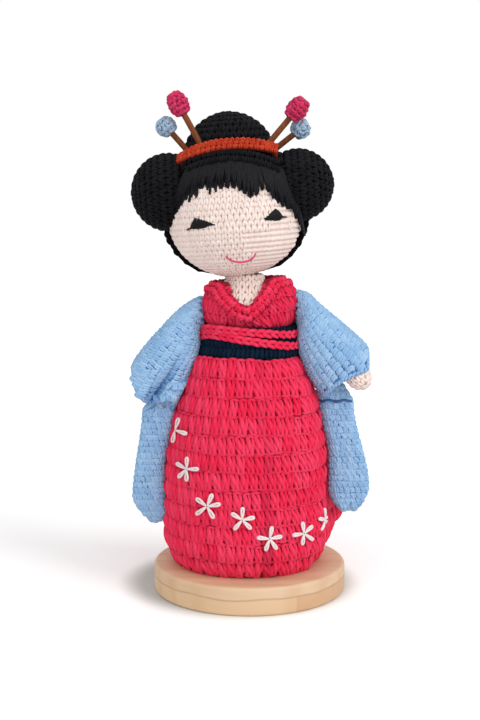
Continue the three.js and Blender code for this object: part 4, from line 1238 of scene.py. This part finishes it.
sleeve_rows = 22
for side, sign in (("right", -1), ("left", 1)):
    stations, mouth_line = sleeve_shapes[side]
    edges = [through([(i / 5, row[k]) for i, row in enumerate(stations)]) for k in range(6)]
    mouth_bulge = through(mouth_line)

    def on_sleeve(u, v, inset=0.0):
        """u runs from shoulder to cuff and v round the sleeve in degrees, from its upper edge."""
        x1, z1, x2, z2, deep, y = [edge(min(max(u, 0.0), 1.0)) for edge in edges]
        a = math.radians(v)
        tall = Vector((sign * (x1 - x2) / 2, 0, (z1 - z2) / 2))
        place = Vector((sign * (x1 + x2) / 2, y, sleeve_z + (z1 + z2) / 2))
        place += tall * math.cos(a) * (1 - inset / tall.length)
        place.y -= math.copysign(abs(math.sin(a)) ** 0.8, math.sin(a)) * (deep - inset)
        outwards = Vector((sign * tall.z, 0, -sign * tall.x)).normalized()
        place += outwards * mouth_bulge((1 - math.cos(a)) / 2) * ease(u, 0.6, 1)
        if side == "right" and place.y < y:
            place.y += 6 * in_fold(place)
        return place * mm

    last_row = 0.972
    span = (0, last_row) if sign < 0 else (last_row, 0)
    spots = rows(
        on_sleeve, range(sleeve_rows), lambda k: k * 360 / sleeve_rows, span,
        (2.9 * mm, 360 / sleeve_rows), slant, rise=-0.6 * mm, closed=False)
    spots = [(*q[:4], min(1.2, q[4])) for q in spots]
    # on the right sleeve, stitches deep in the fold under the mouth are darkened: painted shade
    if side == "right":
        spots = [q + (0.9 * in_fold(q[0] / mm) ** 0.6 if q[0].y < -3 * mm else 0.0,) for q in spots]
    insets = [(u, 0.6 - 1.1 * ease(u, 0.94, 0.99)) for u in np.linspace(0, 1, 60)]
    insets += [(u, 2.6) for u in np.linspace(1, 0.3, 16)]
    cloth = cloth_of([[on_sleeve(u, 7.5 * i, inset) for i in range(48)] for u, inset in insets])
    sleeve = worked(
        "kimono_sleeve_" + side, [(slant, spots)], cloth, sleeve_yarn, plump=0.95, loose=0.22)
    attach(sleeve, "arm_" + side)
    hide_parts("sleeve_" + side)

    # the last round at the mouth, two strands laid round each other
    strands = []
    for start in (0, 180):
        strand = []
        for v in np.arange(0, 361, 2.4):
            t = math.radians(25 * v + start)
            strand.append(on_sleeve(0.984 + 0.011 * math.cos(t), v, 0.5 + 0.55 * math.sin(t)))
        strands.append(strand)
    rim_yarn = thread_finish("sleeve_rim", "#7ba6d4", "#a0c5e9")
    rim = threads("sleeve_rim_" + side, strands, 0.95 * mm, rim_yarn, steps=220)
    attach(rim, "arm_" + side)

    y, hinge, long, top, low, tip, reach, lean = bag_shapes[side]

    def on_bag(u, v, inset=0.0):
        """u is the turn in degrees and v the height. Over the hinge the bag runs up into the sleeve."""
        down = max(0.0, min(1.0, (hinge * mm - v) / (long * mm)))
        inner = top[0] + (low[0] - top[0]) * ease(down, 0, 0.55)
        outer = top[1] + (low[1] - top[1]) * ease(down, 0, 0.8)
        over = max(0.0, v / mm - hinge)
        inner -= lean * over
        outer -= 0.62 * over
        front = y
        if side == "right":
            outer -= 5.8 * ease(v / mm - hinge, -3.5, 3)
            front -= 6.8 * ease(over, 0, 4.5) - 7.2 * ease(over, 11, 16)
        full = math.sqrt(max(0.05, 1 - max(0.0, (down - 0.78) / 0.22) ** 2))
        centre = (inner + outer) / 2 + (tip - (inner + outer) / 2) * ease(down, 0.78, 1)
        a = math.radians(u)
        thick = 3.0 * math.sqrt(max(0.2, full)) - inset
        flat = math.copysign(min(1, 1.35 * abs(math.sin(a))), math.sin(a))
        half_wide = (outer - inner) / 2 * full - inset
        return Vector((sign * centre + half_wide * math.cos(a), front + thick * flat, v / mm)) * mm

    high = (hinge + reach) * mm
    foot = (hinge - long) * mm
    bag_rows = round((high - foot) / (3.1 * mm))
    step = (high - foot) / bag_rows
    spots = rows(
        on_bag, range(bag_rows), lambda k: foot + (k + 0.5) * step, all_round, (2.9 * mm, step), slant,
        rise=-0.6 * mm)
    rings = [[on_bag(12 * i, v, 0.6) for i in range(30)] for v in np.linspace(foot + 0.6 * mm, high, 34)]
    bag = worked(
        "sleeve_bag_" + side, [(slant, spots)], cloth_of(rings), sleeve_yarn, plump=0.95, loose=0.22)
    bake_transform(bag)
    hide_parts("sleeve_drop_" + side)
    if side == "left":
        # the thread that gathers the bag's top; its dark line is partly the thread and partly painted shade
        # of the crease there
        line = [on_bag(u, (hinge + 0.4 + 0.4 * math.sin(u / 9)) * mm, -0.7) for u in range(186, 340, 11)]
        thread_and_crease_shade = thread_finish("gathering_thread", "#23497a", "#3f6c9f")
        gather = threads("gathering_thread", [line], 0.8 * mm, thread_and_crease_shade, steps=24)
        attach(gather, "arm_left")


# Flowers: seven daisies of four or five petals in off-white yarn, each petal one loop held at its
# tip, embroidered on the skirt in a rising curve.
white_yarn = thread_finish("white_yarn", "#e3d3d3", "#f7efee", roughness=0.7)
# Each daisy in the picture: its middle, the length of its petals and which way they point, in degrees.
daisies = (
    (175.1, 430.1, 12, (73, -18, -102, 172)), (186.6, 469.1, 11.5, (88, 0, -90, -135, 150)),
    (207, 506.5, 13, (67, 10, -60, -144, 143)), (242.2, 520, 12, (88, 12, -45, -130, 148)),
    (269.7, 538.9, 12, (79, 12, -55, -110, 174)), (304, 533.5, 11, (97, 42, -35, -98, 189)),
    (321.5, 519, 11, (92, 20, -52, -124, 164)))
# A petal's loop: how far out and how far aside it runs, as shares of the petal's length.
half_loop = [(0.06, 0), (0.35, 0.05), (0.75, 0.1), (0.97, 0.06)]
petal_loop = half_loop + [(run, -wide) for run, wide in half_loop[::-1]]
edge_on_px = 320
picture_px = 0.52 * mm
petals = []
for px, py, size, turns in daisies:
    middle = seen(skirt_surface, px, py, 0)
    out = Vector((middle.x - skirt_x, middle.y, 0)).normalized()
    right = Vector((-out.y, out.x, 0))
    for turn in turns:
        t = math.radians(turn)
        ahead, aside = (math.cos(t), -math.sin(t)), (math.sin(t), math.cos(t))
        loop = []
        for run, wide in petal_loop:
            x = px + size * (run * ahead[0] + wide * aside[0])
            y = py + size * (run * ahead[1] + wide * aside[1])
            lift = (2.1 if run < 0.9 else 1.7) * mm
            if px > edge_on_px:
                # at the side, where the picture shows it edge on
                near = middle + (right * (x - px) - Vector((0, 0, y - py))) * picture_px
                place = touch(skirt_surface, near + out * 12 * mm, near - out * 12 * mm)
                loop.append(place + out * lift if place else None)
            else:
                loop.append(seen(skirt_surface, x, y, lift))
        petals.append([q for q in loop if q is not None])
flowers = threads("flowers", petals, 0.62 * mm, white_yarn, steps=22)
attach(flowers, "doll")

for shape in (single, double, knob, half, rib, chain, ridge, slant):
    bpy.data.objects.remove(shape)
